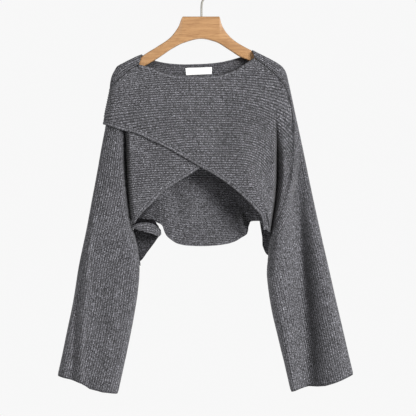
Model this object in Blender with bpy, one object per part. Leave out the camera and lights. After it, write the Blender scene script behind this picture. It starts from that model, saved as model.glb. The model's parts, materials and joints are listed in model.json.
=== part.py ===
# Asymmetric ribbed sweater hanging on a flat wooden hanger.
# Sizes are in millimetres and are turned into metres when a mesh is made.
# X runs to the viewer's right, the front faces -Y, and Z is up with its zero
# at the inside crown of the hanger's hook.  "drop" is the distance below it.
import bpy
import bmesh
import numpy as np

for old in list(bpy.data.objects):
    bpy.data.objects.remove(old, do_unlink=True)

MM = 0.001
WALL = 2.4              # thickness of the knitted cloth
SEAM = 0.2              # half of the gap left where two pieces are sewn
RIB = 0.9               # height of a knitted rib above the cloth
LAYER = 4.4             # how far the outer front lies in front of the inner one
BAND = 10.5             # width of the knitted edge bands
NECK_BAND = 6.0         # width of the neck bands
THIN = 1.2              # thickness of the neck bands
BOTTOM = 4.0            # how round the bottom of the right armhole fold is
WRAP_MID_X = -12.0      # where the ribs of the outer front are lowest in their run
SLEEVE_RIBS = 34
WRAP_RIBS = 46
UNDER_RIBS = 22
BACK_RIBS = 31
ROD_R = 2.2             # radius of the hook's wire
HANGER_T = 13.0         # thickness of the wooden hanger
LEFT_ARM = 554.7        # drop of the left underarm
RIGHT_ARM = 623.5       # drop of the right underarm

# Outlines seen from the front, each row (drop, x).
LEFT_OUTER = (
    (175.6, -129.6), (180.7, -142.3), (186.4, -154.2), (194.3, -169.8), (202.2, -183.7),
    (210.1, -188.5), (221.8, -193.4), (237.6, -196.2), (255.2, -197.2), (278.8, -200.6),
    (304.3, -205.0), (332.5, -209.8), (387.5, -220.2), (438.1, -229.0), (495.3, -239.8),
    (556.0, -251.0), (640.5, -268.6), (717.5, -280.9), (785.7, -295.0), (842.4, -306.7),
    (881.6, -315.5),
)
WRAP_OUTER = (
    (175.6, -134.0), (180.7, -146.7), (186.4, -158.6), (194.3, -174.2), (202.2, -188.1),
    (210.1, -192.9), (221.8, -197.3), (237.6, -200.8), (255.2, -203.4), (278.8, -207.2),
    (304.3, -212.6), (329.8, -216.4), (387.5, -225.5),
)
LEFT_FRONT_SEAM = (
    (203.8, -128.7), (222.5, -141.9), (251.1, -159.5), (284.1, -169.4), (319.3, -170.5),
    (354.5, -167.6), (396.3, -166.1), (446.9, -163.9), (501.9, -159.5), (554.7, -152.9),
    (574.5, -147.2), (616.3, -139.7), (649.3, -137.3), (693.3, -140.8), (752.7, -150.0),
    (805.5, -160.2), (869.3, -173.8), (920.7, -185.2),
)
LEFT_BACK_SEAM = (
    (182.9, -117.7), (198.3, -139.7), (226.9, -168.3), (259.9, -181.5), (301.7, -185.9),
    (341.3, -181.5), (385.3, -174.9), (446.9, -166.1), (501.9, -159.5), (554.7, -152.9),
)
RIGHT_OUTER = (
    (165.9, 110.4), (174.5, 127.2), (184.2, 146.7), (195.0, 166.3), (204.4, 178.2),
    (215.0, 184.6), (235.7, 190.1), (261.2, 195.8), (308.3, 205.7), (353.4, 215.6),
    (400.7, 225.5), (455.7, 236.7), (521.7, 250.8), (584.4, 264.7), (657.4, 281.6),
    (713.1, 294.1), (771.6, 307.8), (825.3, 320.1), (878.9, 332.9),
)
# Seam of the right sleeve on the front.  It reaches the fold at the underarm.
RIGHT_FRONT_SEAM = (
    (183.0, 115.3), (204.9, 143.7), (218.9, 159.5), (234.3, 173.1), (256.1, 186.8),
    (292.9, 196.5), (321.5, 199.5), (350.1, 201.0), (385.0, 201.5), (420.0, 200.0),
    (455.0, 195.5), (485.0, 187.0), (515.0, 175.5), (545.0, 163.5), (572.3, 154.0),
    (600.0, 148.6), (623.5, 147.2), (653.7, 144.8), (691.1, 148.1), (741.2, 156.2),
    (794.5, 168.7), (857.4, 183.9), (916.8, 197.8),
)
RIGHT_UNDERARM = 16     # row of the underarm in that table
# Fold of the outer front that runs down to the right underarm.
RIGHT_FOLD = (
    (250.0, 156.0), (297.0, 161.7), (348.0, 165.0), (385.0, 166.2), (436.0, 166.2),
    (495.0, 161.9), (544.0, 155.0), (590.0, 149.0),
)
RIGHT_BACK_SEAM = (
    (175.8, 100.1), (200.5, 133.1), (231.3, 163.9), (266.5, 181.5), (308.3, 188.1),
    (352.3, 188.1), (396.3, 181.5), (451.3, 172.7), (510.7, 162.8), (574.5, 154.0),
    (623.5, 147.2),
)
# Neck lines and hems, each row (x, drop).
NECK_FRONT = (
    (-137.7, 198.3), (-118.6, 202.7), (-103.8, 207.1), (-86.2, 215.9), (-68.4, 220.3),
    (-38.9, 223.1), (-0.7, 224.7), (34.8, 221.8), (64.0, 214.3), (93.5, 198.0), (115.5, 183.4),
)
NECK_BACK = (
    (-114.5, 183.2), (-97.9, 189.2), (-68.4, 194.3), (-38.9, 196.1), (-0.7, 195.2),
    (34.8, 192.3), (64.0, 186.4), (84.7, 180.4), (98.0, 176.2),
)
BACK_HEM = (
    (-152.9, 551.5), (-133.1, 539.3), (-113.3, 540.6), (-100.1, 544.5), (-86.9, 551.4),
    (-80.3, 570.1), (-66.2, 583.9), (-52.1, 592.1), (-26.8, 596.5), (1.1, 597.3),
    (29.3, 596.0), (57.4, 592.1), (74.1, 586.8), (88.2, 578.4), (101.2, 568.5),
    (105.6, 544.5), (117.7, 541.5), (130.9, 541.5), (138.5, 575.0), (147.2, 618.0),
)
# Free slanting edges.  An x beyond WRAP_OUTER lies round on the back.
WRAP_EDGE = (
    (-240.9, 323.7), (-215.8, 329.4), (-174.2, 342.6), (-139.0, 350.9), (-111.1, 365.0),
    (-82.9, 377.8), (-49.5, 395.8), (-1.5, 424.0), (29.3, 440.9), (57.4, 460.5),
    (85.4, 482.9), (113.3, 510.7), (130.9, 533.8), (134.9, 556.9), (132.9, 583.3),
    (136.2, 603.4), (142.5, 616.0),
)
UNDER_EDGE = (
    (-148.4, 547.2), (-130.9, 525.0), (-111.1, 505.4), (-82.9, 477.2), (-55.0, 457.6),
    (-26.8, 440.9), (-1.5, 424.0), (45.1, 394.1), (95.7, 362.2), (139.7, 334.7),
    (175.5, 306.9),
)
# Depth of the cloth by drop: inner front, outer front, back, how round the outer
# sides are and how round the folds at the armholes are.
DEPTH = (
    # drop, inner, outer, back, side, fold
    (165.0, 10.4, 15.0, 12.4, 14.0, 14.0),
    (225.0, 13.0, 17.8, 14.0, 15.0, 15.0),
    (297.0, 18.5, 23.5, 17.0, 20.0, 16.0),
    (350.0, 21.0, 26.0, 20.0, 27.0, 18.0),
    (424.0, 23.5, 28.5, 22.0, 34.0, 24.0),
    (555.0, 23.5, 29.0, 23.0, 46.0, 34.0),
    (624.0, 22.5, 27.0, 23.0, 50.0, 44.0),
    (760.0, 21.0, 22.5, 20.0, 54.0, 50.0),
    (921.0, 20.0, 21.0, 19.0, 54.0, 50.0),
)
# How far the armhole folds have closed, from 0 (open) to 1 (sleeve parted).
CLOSING = (
    # drop, left front, left back, right front, right back
    (165.0, 0.0, 0.0, 0.0, 0.0),
    (240.0, 0.0, 0.0, 0.0, 0.0),
    (297.0, 0.45, 0.03, 0.0, 0.0),
    (350.0, 0.78, 0.15, 0.05, 0.03),
    (424.0, 0.88, 0.50, 0.45, 0.28),
    (500.0, 0.93, 0.80, 0.74, 0.62),
    (554.7, 1.0, 1.0, 0.86, 0.80),
    (590.0, 1.0, 1.0, 0.93, 0.91),
    (623.5, 1.0, 1.0, 1.0, 1.0),
    (921.0, 1.0, 1.0, 1.0, 1.0),
)
# Sections of a sleeve from the neck down: drop of the outer side, of the front
# seam (or inner side) and of the back seam.
LEFT_ROWS = (
    # outer, front, back
    (175.8, 204.6, 183.6),
    (183.5, 222.5, 198.3),
    (196.0, 246.0, 221.0),
    (212.0, 272.0, 248.0),
    (240.0, 300.0, 285.0),
    (275.0, 329.0, 320.0),
    (318.0, 362.0, 355.0),
    (372.0, 405.0, 402.0),
    (428.0, 455.0, 455.0),
    (484.0, 506.0, 506.0),
    (538.0, 554.7, 554.7),
    (592.0, 612.0, 612.0),
    (650.0, 672.0, 672.0),
    (708.0, 734.0, 734.0),
    (768.0, 798.0, 798.0),
    (826.0, 860.0, 860.0),
    (881.6, 920.7, 920.7),
)
LEFT_CLOSED = 10
RIGHT_ROWS = (
    (166.4, 184.0, 176.4),
    (180.0, 205.0, 200.0),
    (195.5, 224.0, 227.0),
    (214.0, 248.0, 256.0),
    (246.0, 279.0, 290.0),
    (287.0, 315.0, 325.0),
    (330.0, 352.0, 362.0),
    (382.0, 405.0, 410.0),
    (438.0, 460.0, 462.0),
    (492.0, 515.0, 516.0),
    (546.0, 570.0, 571.0),
    (598.0, 623.5, 623.5),
    (654.0, 682.0, 682.0),
    (710.0, 741.0, 741.0),
    (767.0, 800.0, 800.0),
    (824.0, 860.0, 860.0),
    (878.9, 916.8, 916.8),
)
RIGHT_CLOSED = 11
# Seam of the outer front on the left shoulder, going round to the back (x, drop).
RAGLAN = (
    (-138.6, 199.4), (-157.3, 211.0), (-175.3, 226.6), (-192.1, 242.3), (-204.4, 254.5),
    (-223.3, 286.3), (-238.7, 311.5),
)
# End of the hidden inner front at the right armhole (x, drop).
HIDDEN_END = (
    (112.0, 199.0), (143.0, 214.0), (161.0, 232.0), (173.0, 252.0), (179.0, 272.0),
)
# Ribs of the outer front: drop at the middle, at the left end and at the right seam,
# and how late they bend down towards that seam.
WRAP_ROWS = (
    # mid, left, right, bend
    (171.0, 199.4, 183.0, 2.6),
    (191.0, 211.0, 201.0, 2.6),
    (205.0, 226.6, 212.0, 2.6),
    (222.0, 242.3, 230.0, 2.8),
    (240.0, 257.5, 258.0, 3.1),
    (262.0, 280.0, 298.0, 3.4),
    (284.0, 302.6, 341.0, 3.8),
    (300.0, 318.6, 373.0, 4.2),
    (316.0, 331.9, 404.0, 4.7),
    (328.0, 340.2, 426.0, 5.1),
    (346.5, 355.0, 455.0, 5.8),
    (363.0, 368.5, 478.0, 6.3),
    (384.5, 387.0, 505.0, 6.8),
    (406.0, 406.4, 528.0, 7.0),
    (431.5, 432.3, 550.0, 6.6),
    (451.5, 451.8, 563.0, 6.0),
    (474.5, 474.8, 575.0, 5.2),
    (503.5, 503.8, 585.0, 4.0),
    (530.0, 530.2, 592.0, 3.0),
    (560.0, 560.2, 598.0, 2.2),
    (594.0, 594.2, 600.0, 1.6),
)
# Room left beside the right raglan seam where it bends, by drop.
SEAM_ROOM = (
    (190.0, 1.1), (212.0, 0.4), (270.0, 0.3), (288.0, 0.8), (375.0, 0.8), (410.0, 0.4),
    (540.0, 0.3), (576.0, 1.6), (604.0, 2.2),
)
# Ribs of the inner front: drop at the middle, at the left seam and at the right end.
UNDER_ROWS = (
    # mid, left, right
    (178.0, 207.5, 199.0),
    (215.0, 247.0, 251.0),
    (262.0, 292.0, 290.0),
    (318.0, 338.0, 329.0),
    (352.0, 366.0, 354.5),
    (385.0, 394.0, 385.0),
    (416.0, 423.0, 416.5),
    (446.0, 453.0, 447.0),
    (470.0, 478.0, 471.0),
    (496.0, 502.0, 497.5),
    (517.0, 523.0, 517.5),
    (536.0, 540.0, 536.5),
)
# Top and bottom of the wooden hanger, each row (x, drop).
HANGER_TOP = (
    (-181.0, 212.5), (-170.5, 204.6), (-154.0, 195.2), (-136.0, 184.0), (-127.4, 176.9),
    (-97.9, 158.4), (-68.4, 137.8), (-50.8, 114.2), (-40.5, 92.0), (38.9, 92.0),
    (44.9, 111.1), (67.1, 140.6), (102.0, 162.6), (110.0, 171.0), (133.1, 184.4),
    (161.7, 200.6), (174.5, 211.5),
)
HANGER_LOW = (
    (-181.0, 223.7), (-170.5, 223.8), (-154.0, 216.9), (-136.2, 207.1), (-127.0, 202.0),
    (-97.9, 184.8), (-62.7, 161.3), (-39.2, 149.6), (-0.7, 140.6), (28.6, 146.6),
    (64.0, 167.2), (84.7, 180.4), (105.4, 189.2), (133.1, 206.1), (161.7, 221.5),
    (174.5, 222.7),
)
# The open roll of the hem at the left side: x, y, top and bottom drop.
LEFT_ROLL = (
    # x, y, top, bottom
    (-150.4, -13.0, 548.8, 560.5),
    (-138.0, -20.0, 541.8, 563.0),
    (-122.0, -21.5, 541.0, 566.5),
    (-104.0, -19.0, 542.5, 571.0),
    (-94.0, -12.5, 548.5, 573.0),
    (-90.3, -3.0, 555.0, 571.0),
    (-93.0, 6.0, 560.0, 579.0),
    (-104.0, 12.0, 560.0, 599.0),
    (-120.0, 14.0, 560.0, 619.0),
    (-134.0, 12.0, 560.0, 628.0),
    (-150.0, 9.0, 560.0, 632.0),
)
LABEL = ((-35.6, 204.2), (23.1, 202.3), (22.4, 217.4), (-34.3, 220.0))


def smooth(rows, a=0, b=1):
    """Smooth curve through table rows without overshoot."""
    xs = np.array([row[a] for row in rows], float)
    ys = np.array([row[b] for row in rows], float)
    gap = np.diff(xs)
    slope = np.diff(ys) / gap
    tangent = np.zeros_like(ys)
    tangent[0] = slope[0]
    tangent[-1] = slope[-1]
    for k in range(1, len(xs) - 1):
        if slope[k - 1] * slope[k] > 0:
            w1 = 2 * gap[k] + gap[k - 1]
            w2 = gap[k] + 2 * gap[k - 1]
            tangent[k] = (w1 + w2) / (w1 / slope[k - 1] + w2 / slope[k])

    def value(x):
        x = np.clip(np.asarray(x, float), xs[0], xs[-1])
        k = np.clip(np.searchsorted(xs, x) - 1, 0, len(xs) - 2)
        t = (x - xs[k]) / gap[k]
        return (ys[k] * (1 + 2 * t) * (1 - t) ** 2 + tangent[k] * gap[k] * t * (1 - t) ** 2
                + ys[k + 1] * t * t * (3 - 2 * t) + tangent[k + 1] * gap[k] * t * t * (t - 1))

    return value


def along(rows):
    """Curve through rows of columns by their order, as a function of 0..1."""
    rows = np.array(rows, float)
    step = np.linalg.norm(np.diff(rows[:, :2], axis=0), axis=1)
    pos = np.concatenate([[0.0], np.cumsum(step)])
    pos = pos / pos[-1]
    parts = [smooth(np.column_stack([pos, rows[:, c]])) for c in range(rows.shape[1])]

    def value(t):
        return np.stack([part(t) for part in parts], axis=-1)

    return value


left_outer = smooth(LEFT_OUTER)
wrap_outer = smooth(WRAP_OUTER)
left_front = smooth(LEFT_FRONT_SEAM)
left_back = smooth(LEFT_BACK_SEAM + LEFT_FRONT_SEAM[10:])
right_outer = smooth(RIGHT_OUTER)
right_front = smooth(RIGHT_FRONT_SEAM)
right_back = smooth(RIGHT_BACK_SEAM + RIGHT_FRONT_SEAM[RIGHT_UNDERARM + 1:])
right_fold = smooth(RIGHT_FOLD + RIGHT_FRONT_SEAM[RIGHT_UNDERARM:])
inner_depth = smooth(DEPTH, 0, 1)
outer_depth = smooth(DEPTH, 0, 2)
back_depth = smooth(DEPTH, 0, 3)
side_round = smooth(DEPTH, 0, 4)
fold_round = smooth(DEPTH, 0, 5)
seam_room = smooth(SEAM_ROOM)
close_lf = smooth(CLOSING, 0, 1)
close_lb = smooth(CLOSING, 0, 2)
close_rf = smooth(CLOSING, 0, 3)
close_rb = smooth(CLOSING, 0, 4)


def swell(t):
    """Quarter round that rises from 0 to 1."""
    t = np.clip(t, 0.0, 1.0)
    return np.sqrt(1.0 - (1.0 - t) ** 2)


def fold(x, d, line, closing, radius, underarm, round_bottom=0.0):
    """Sunk fold along an armhole: an open V that turns round at the underarm."""
    near = np.clip((underarm - d) / 60.0, 0.0, 1.0)
    soft = BOTTOM * near * round_bottom
    away = np.sqrt((x - line) ** 2 + soft ** 2) - soft
    shape = swell(away / radius) ** (1.0 + 0.7 * near)
    return 1.0 - closing * (1.0 - shape)


def y_outer(x, d):
    """Front of the outer layer: crossing front and right sleeve."""
    y = outer_depth(d) * swell((x - wrap_outer(d)) / side_round(d))
    y = y * swell((right_outer(d) - x) / side_round(d))
    return -y * fold(x, d, right_fold(d), close_rf(d), fold_round(d), RIGHT_ARM, 1.0)


def y_inner(x, d):
    """Front of the inner layer: left sleeve and inner front."""
    y = inner_depth(d) * swell((x - left_outer(d)) / side_round(d))
    y = y * fold(x, d, left_front(d), close_lf(d), fold_round(d), LEFT_ARM)
    cover = np.maximum(-y_outer(x, d) - LAYER, 0.0)
    share = np.clip((x + 100.0) / 60.0, 0.0, 1.0)
    return -(y + (np.minimum(y, cover) - y) * share)


def y_back(x, d):
    y = back_depth(d) * swell((x - left_outer(d)) / side_round(d))
    y = y * swell((right_outer(d) - x) / side_round(d))
    y = y * fold(x, d, left_back(d), close_lb(d), fold_round(d), LEFT_ARM)
    return y * fold(x, d, right_back(d), close_rb(d), fold_round(d), RIGHT_ARM)


def y_cape(x, d):
    """Back of the outer layer where it wraps round the left arm."""
    return (back_depth(d) + LAYER + 0.4) * swell((x - wrap_outer(d)) / (side_round(d) + 1.0))


def resample(line, count, bend, trim_a, trim_b):
    """Points along a dense line, closer together where it bends."""
    step = np.linalg.norm(np.diff(line, axis=0), axis=1)
    pos = np.concatenate([[0.0], np.cumsum(step)])
    heading = np.diff(line, axis=0) / np.maximum(step, 1e-9)[:, None]
    turn = np.zeros(len(line))
    turn[1:-1] = np.linalg.norm(np.diff(heading, axis=0), axis=1)
    weight = pos + bend * np.cumsum(turn)
    lo = np.interp(trim_a, pos, weight)
    hi = np.interp(pos[-1] - trim_b, pos, weight)
    want = np.interp(np.linspace(lo, hi, count + 1), weight, pos)
    return np.column_stack([np.interp(want, pos, line[:, c]) for c in range(3)])


def follow(points, end, goal, reach=26.0):
    """Bend the end of a row of points so that it meets a goal point."""
    order = points if end == 0 else points[::-1]
    step = np.linalg.norm(np.diff(order, axis=0), axis=1)
    pos = np.concatenate([[0.0], np.cumsum(step)])
    pull = np.clip(1.0 - pos / reach, 0.0, 1.0) ** 2
    moved = order + (goal - order[0]) * pull[:, None]
    return moved if end == 0 else moved[::-1]


def straight(points):
    """Position on a line of straight pieces, as a function of the drop."""
    drop = -points[:, 2]

    def value(d):
        return np.array([np.interp(d, drop, points[:, 0]), np.interp(d, drop, points[:, 1]), -d])

    return value


def ease(count):
    return (1.0 - np.cos(np.linspace(0.0, np.pi, count))) / 2.0


def sleeve_grid(rows, cols, front, back, outer, y_front, closed):
    """Sections of a sleeve: front seam, outer side, back seam."""
    grid = []
    t = ease(160)
    for i, (d_out, d_front, d_back) in enumerate(rows):
        a = np.array([front(d_front), d_front])
        o = np.array([outer(d_out), d_out])
        b = np.array([back(d_back), d_back])
        fore = a + (o - a) * t[:, None]
        aft = o + (b - o) * t[1:, None]
        yf = y_front(fore[:, 0], fore[:, 1])
        yb = y_back(aft[:, 0], aft[:, 1])
        yf[-1] = 0.0
        if i >= closed:
            yf[0] = 0.0
            yb[-1] = 0.0
        xd = np.vstack([fore, aft])
        line = np.column_stack([xd[:, 0], np.concatenate([yf, yb]), -xd[:, 1]])
        trim = SEAM if i < closed else 0.0
        grid.append(resample(line, cols, 0.0, trim, trim))
    return np.array(grid)


def normals(grid, closed_from=None):
    """Outward directions of a grid of points."""
    du = np.gradient(grid, axis=1)
    if closed_from is not None:
        wrap = grid[closed_from:, 1] - grid[closed_from:, -2]
        du[closed_from:, 0] = wrap
        du[closed_from:, -1] = wrap
    dv = np.gradient(grid, axis=0)
    n = np.cross(du, dv)
    return n / np.maximum(np.linalg.norm(n, axis=2), 1e-12)[:, :, None]


class Sheet:
    """Grid of points whose cut-away rows are drawn together on an edge line."""

    def __init__(self, points, top_cut=None, low_cut=None, base=None, closed_from=None):
        base = points if base is None else base
        m, n = points.shape[:2]
        self.ids = np.zeros((m, n), int)
        self.verts = []
        for j in range(n):
            first, start = 0, None
            last, stop = m - 1, None
            if top_cut is not None:
                first, start = self.cross(points[:, j], base[:, j], top_cut, False)
            if low_cut is not None:
                last, stop = self.cross(points[:, j], base[:, j], low_cut, True)
            for i in range(m):
                if closed_from is not None and j == n - 1 and i >= closed_from:
                    self.ids[i, j] = self.ids[i, 0]
                elif i <= first and i > 0 and start is not None:
                    self.ids[i, j] = self.ids[0, j]
                elif i > last and stop is not None:
                    self.ids[i, j] = self.ids[last, j]
                else:
                    here = points[i, j]
                    if i == 0 and start is not None:
                        here = start
                    if i == last and stop is not None:
                        here = stop
                    self.ids[i, j] = len(self.verts)
                    self.verts.append(here)

    @staticmethod
    def cross(points, base, cut, low):
        limit = cut(base[:, 0])
        over = -base[:, 2] - limit
        order = range(len(base) - 1, 0, -1) if low else range(len(base) - 1)
        for i in order:
            k = i - 1 if low else i + 1
            if over[i] * over[k] <= 0.0 and over[i] != over[k]:
                t = over[i] / (over[i] - over[k])
                point = points[i] + (points[k] - points[i]) * t
                return i, point
        return (len(base) - 1, None) if low else (0, None)

    def faces(self):
        out = []
        m, n = self.ids.shape
        for i in range(m - 1):
            for j in range(n - 1):
                loop = []
                near = (self.ids[i, j], self.ids[i, j + 1], self.ids[i + 1, j + 1], self.ids[i + 1, j])
                for k in near:
                    if k not in loop:
                        loop.append(int(k))
                if len(loop) > 2:
                    out.append(loop)
        return out

    def side(self, ids):
        out = [int(ids[0])]
        for k in ids[1:]:
            if k != out[-1]:
                out.append(int(k))
        return out


def zipper(verts, a, b):
    """Triangles that join two lines running side by side."""
    def position(line):
        p = np.array([verts[k] for k in line])
        s = np.concatenate([[0.0], np.cumsum(np.linalg.norm(np.diff(p, axis=0), axis=1))])
        return s / s[-1] if s[-1] > 0 else np.linspace(0, 1, len(s))

    pa = position(a)
    pb = position(b)
    i = 0
    j = 0
    out = []
    while i < len(a) - 1 or j < len(b) - 1:
        if j == len(b) - 1 or (i < len(a) - 1 and pa[i + 1] <= pb[j + 1]):
            out.append([a[i], a[i + 1], b[j]])
            i += 1
        else:
            out.append([a[i], b[j + 1], b[j]])
            j += 1
    return out


def make(name, verts, faces, colour, rough, metal=0.0):
    """Closed object with its own material."""
    mesh = bpy.data.meshes.new(name)
    bm = bmesh.new()
    made = [bm.verts.new(tuple(np.asarray(v) * MM)) for v in verts]
    for face in faces:
        bm.faces.new([made[k] for k in face])
    bmesh.ops.recalc_face_normals(bm, faces=bm.faces)
    bmesh.ops.triangulate(bm, faces=bm.faces)
    bm.to_mesh(mesh)
    bm.free()
    obj = bpy.data.objects.new(name, mesh)
    bpy.context.scene.collection.objects.link(obj)
    mat = bpy.data.materials.new(name)
    mat.use_nodes = True
    shader = mat.node_tree.nodes["Principled BSDF"]
    shader.inputs["Base Color"].default_value = colour
    shader.inputs["Roughness"].default_value = rough
    shader.inputs["Metallic"].default_value = metal
    mesh.materials.append(mat)
    return obj


YARN = (0.085, 0.087, 0.094, 1.0)
TRIM = (0.075, 0.077, 0.084, 1.0)
WOOD = (0.62, 0.44, 0.26, 1.0)
STEEL = (0.62, 0.60, 0.56, 1.0)
WHITE = (0.90, 0.90, 0.88, 1.0)


def pick(count, step):
    """Every step-th index with the last one kept."""
    out = list(range(0, count, step))
    if out[-1] != count - 1:
        out.append(count - 1)
    return out


def cloth(name, grid, relief, row_step, col_step, colour=YARN, closed_from=None,
          top_cut=None, low_cut=None, wall=WALL, must_rows=(), facing=0.0):
    """Thin closed wall: ribbed outside, plain inside, rims all round.

    facing is -1 for cloth seen from the front, 1 from the back, 0 for a tube.
    """
    n = normals(grid, closed_from)
    if facing == 0.0:
        turned = np.sum(n * (grid - grid.mean(axis=1, keepdims=True)))
    else:
        turned = np.sum(n[:, :, 1]) * facing
    n = n * np.sign(turned)
    outside = grid + n * relief[:, :, None]
    inside = grid - n * wall
    rows = sorted(set(pick(grid.shape[0], row_step)) | set(must_rows))
    cols = pick(grid.shape[1], col_step)
    out = Sheet(outside, top_cut, low_cut, grid, closed_from)
    closed_in = None if closed_from is None else rows.index(closed_from)
    inn = Sheet(inside[np.ix_(rows, cols)], top_cut, low_cut, grid[np.ix_(rows, cols)], closed_in)
    verts = list(out.verts) + list(inn.verts)
    shift = len(out.verts)
    faces = out.faces()
    faces += [[k + shift for k in reversed(face)] for face in inn.faces()]
    last = grid.shape[0] - 1
    sides = []
    stop = last if closed_from is None else closed_from
    stop_in = len(rows) - 1 if closed_in is None else closed_in
    sides.append((out.ids[0, :], inn.ids[0, :]))
    sides.append((out.ids[last, :], inn.ids[-1, :]))
    sides.append((out.ids[:stop + 1, 0], inn.ids[:stop_in + 1, 0]))
    sides.append((out.ids[:stop + 1, -1], inn.ids[:stop_in + 1, -1]))
    for a, b in sides:
        a = out.side(a)
        b = [k + shift for k in inn.side(b)]
        if len(a) > 1 or len(b) > 1:
            faces += zipper(verts, a, b)
    return make(name, verts, faces, colour, 0.95)


def rib_columns(grid, height):
    """Relief that stands on every second column, lower where ribs crowd together."""
    width = np.linalg.norm(np.diff(grid, axis=1), axis=2).mean(axis=1) * 2.0
    full = height * np.clip(width / 5.0, 0.0, 1.0)
    relief = np.zeros(grid.shape[:2])
    relief[:, 1::2] = full[:, None]
    return relief


def rib_rows(grid, height):
    relief = np.zeros(grid.shape[:2])
    relief[1:-1:2, 1:-1] = height
    return relief


# Sleeves: one closed tube each below the underarm, open to the seams above it.
def sleeve(name, rows, closed, front, back, outer, y_front):
    grid = sleeve_grid(rows, 2 * SLEEVE_RIBS, front, back, outer, y_front, closed)
    relief = rib_columns(grid, RIB)
    relief[:closed + 1, 1] = 0.0
    relief[:closed + 1, -2] = 0.0
    cloth(name, grid, relief, 1, 3, closed_from=closed, must_rows=(closed,))
    return straight(grid[:closed + 1, 0]), straight(grid[:closed + 1, -1])


left_front_edge, left_back_edge = sleeve(
    "sleeve_left", LEFT_ROWS, LEFT_CLOSED, left_front, left_back, left_outer, y_inner)
right_front_edge, right_back_edge = sleeve(
    "sleeve_right", RIGHT_ROWS, RIGHT_CLOSED, right_front, right_back, right_outer, y_outer)


def moved(rows, width, t, narrow=()):
    """An edge line moved sideways; narrow gives the share of the width along it."""
    path = along(rows)(t)
    step = np.gradient(path, axis=0)
    step = step / np.linalg.norm(step, axis=1)[:, None]
    side = np.column_stack([-step[:, 1], step[:, 0]])
    share = np.ones(len(t))
    if narrow:
        share = np.interp(t, narrow[0], narrow[1])
    return path + side * (width * share)[:, None]


EDGE_T = np.linspace(0.0, 1.0, 160)
WRAP_NARROW = ((0.0, 0.9, 1.0), (1.0, 1.0, 0.3))
WRAP_BESIDE = ((0.0, 0.2, 0.3, 0.9, 1.0), (1.13, 1.13, 1.0, 1.0, 0.3))
UNDER_NARROW = ((0.0, 0.14, 1.0), (0.3, 1.0, 1.0))


def by_drop(*lines):
    """x of a boundary made of several lines, as a function of drop."""
    rows = np.vstack([np.asarray(line, float) for line in lines])
    rows = rows[np.argsort(rows[:, 1])]

    def value(d):
        return float(np.interp(d, rows[:, 1], rows[:, 0]))

    return value


wrap_left_x = by_drop(RAGLAN, moved(WRAP_EDGE, -(BAND + 3 * SEAM), EDGE_T, WRAP_BESIDE)[2:])
under_right_x = by_drop(
    HIDDEN_END, moved(UNDER_EDGE, -(BAND + 4 * SEAM), EDGE_T, UNDER_NARROW)[:-1])


def as_drop(rows):
    """Drop of a line as a function of x."""
    rows = rows[np.argsort(rows[:, 0])]
    keep = np.concatenate([[True], np.diff(rows[:, 0]) > 0.05])
    rows = rows[keep]

    def value(x):
        return np.interp(x, rows[:, 0], rows[:, 1])

    return value


def special(lo, hi, marks):
    """Dense x values between two ends, crowded round the marks."""
    xs = [np.linspace(lo, hi, 220)]
    near = np.linspace(0.0, 1.0, 40) ** 2
    for mark in marks:
        xs.append(mark + 24.0 * near)
        xs.append(mark - 24.0 * near)
    xs = np.unique(np.concatenate(xs))
    return xs[(xs >= lo) & (xs <= hi)]


def wrap_point(xi, d):
    """Place a point of the outer front; x beyond the silhouette turns to the back."""
    edge_x = wrap_outer(d)
    behind = xi < edge_x
    x = np.where(behind, 2 * edge_x - xi, xi)
    y = np.where(behind, y_cape(x, d), y_outer(x, d))
    return np.stack([x, y, -d], axis=-1)


def wrap_grid(cols, mids):
    table = np.array(WRAP_ROWS)
    left_d = smooth(table, 0, 1)
    right_d = smooth(table, 0, 2)
    bend = smooth(table, 0, 3)
    grid = []
    for mid in mids:
        dl = float(left_d(mid))
        dr = float(right_d(mid))
        xl = wrap_left_x(dl)
        xr = float(right_front(dr))
        xm = max(WRAP_MID_X, xl)
        base = mid if xl < WRAP_MID_X else dl

        def drop(x):
            tl = np.clip((xm - x) / max(xm - xl, 1.0), 0.0, 1.0)
            tr = np.clip((x - xm) / (xr - xm), 0.0, 1.0)
            return base + (dl - base) * tl ** 2.0 + (dr - base) * tr ** float(bend(mid))

        side = np.linspace(xl, xl + 60.0, 241)
        side = side[np.argmin(np.abs(side - wrap_outer(drop(side))))]
        low = np.linspace(xl, xr, 400)
        low = low[np.argmin(np.abs(low - right_fold(drop(low))))]
        xi = special(xl, xr, [side, low, xr])
        line = resample(wrap_point(xi, drop(xi)), cols, 80.0, SEAM, 0.0)
        goal = right_front_edge(dr) - (2 * SEAM + float(seam_room(dr)), 0.0, 0.0)
        line = follow(line, 1, goal, min(26.0, 0.6 * (xr - xl)))
        limit = right_front_edge(-line[:, 2])[0] - 2 * SEAM - seam_room(-line[:, 2])
        line[:, 0] = np.minimum(line[:, 0], limit)
        grid.append(line)
    return np.array(grid)


def under_grid(cols, rows_n):
    table = np.array(UNDER_ROWS)
    left_d = smooth(table, 0, 1)
    right_d = smooth(table, 0, 2)
    grid = []
    for mid in np.linspace(table[0, 0], table[-1, 0], rows_n + 1):
        dl = float(left_d(mid))
        dr = float(right_d(mid))
        xl = float(left_front(dl))
        xr = under_right_x(dr)
        xm = min(0.0, xr)
        xi = special(xl, xr, [xl])
        tl = np.clip((xm - xi) / max(xm - xl, 1.0), 0.0, 1.0)
        tr = np.clip((xi - xm) / max(xr - xm, 1.0), 0.0, 1.0)
        base = mid if xr > 0.0 else dr
        d = base + (dl - base) * tl ** 2.0 + (dr - base) * tr ** 2.0
        line = np.column_stack([xi, y_inner(xi, d), -d])
        line = resample(line, cols, 20.0, 0.0, SEAM)
        room = 2 * SEAM + 0.6 * np.clip((dl - 470.0) / 50.0, 0.0, 1.0)
        goal = left_front_edge(dl) + (room, 0.0, 0.0)
        grid.append(follow(line, 0, goal, min(26.0, 0.6 * (xr - xl))))
    return np.array(grid)


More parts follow.
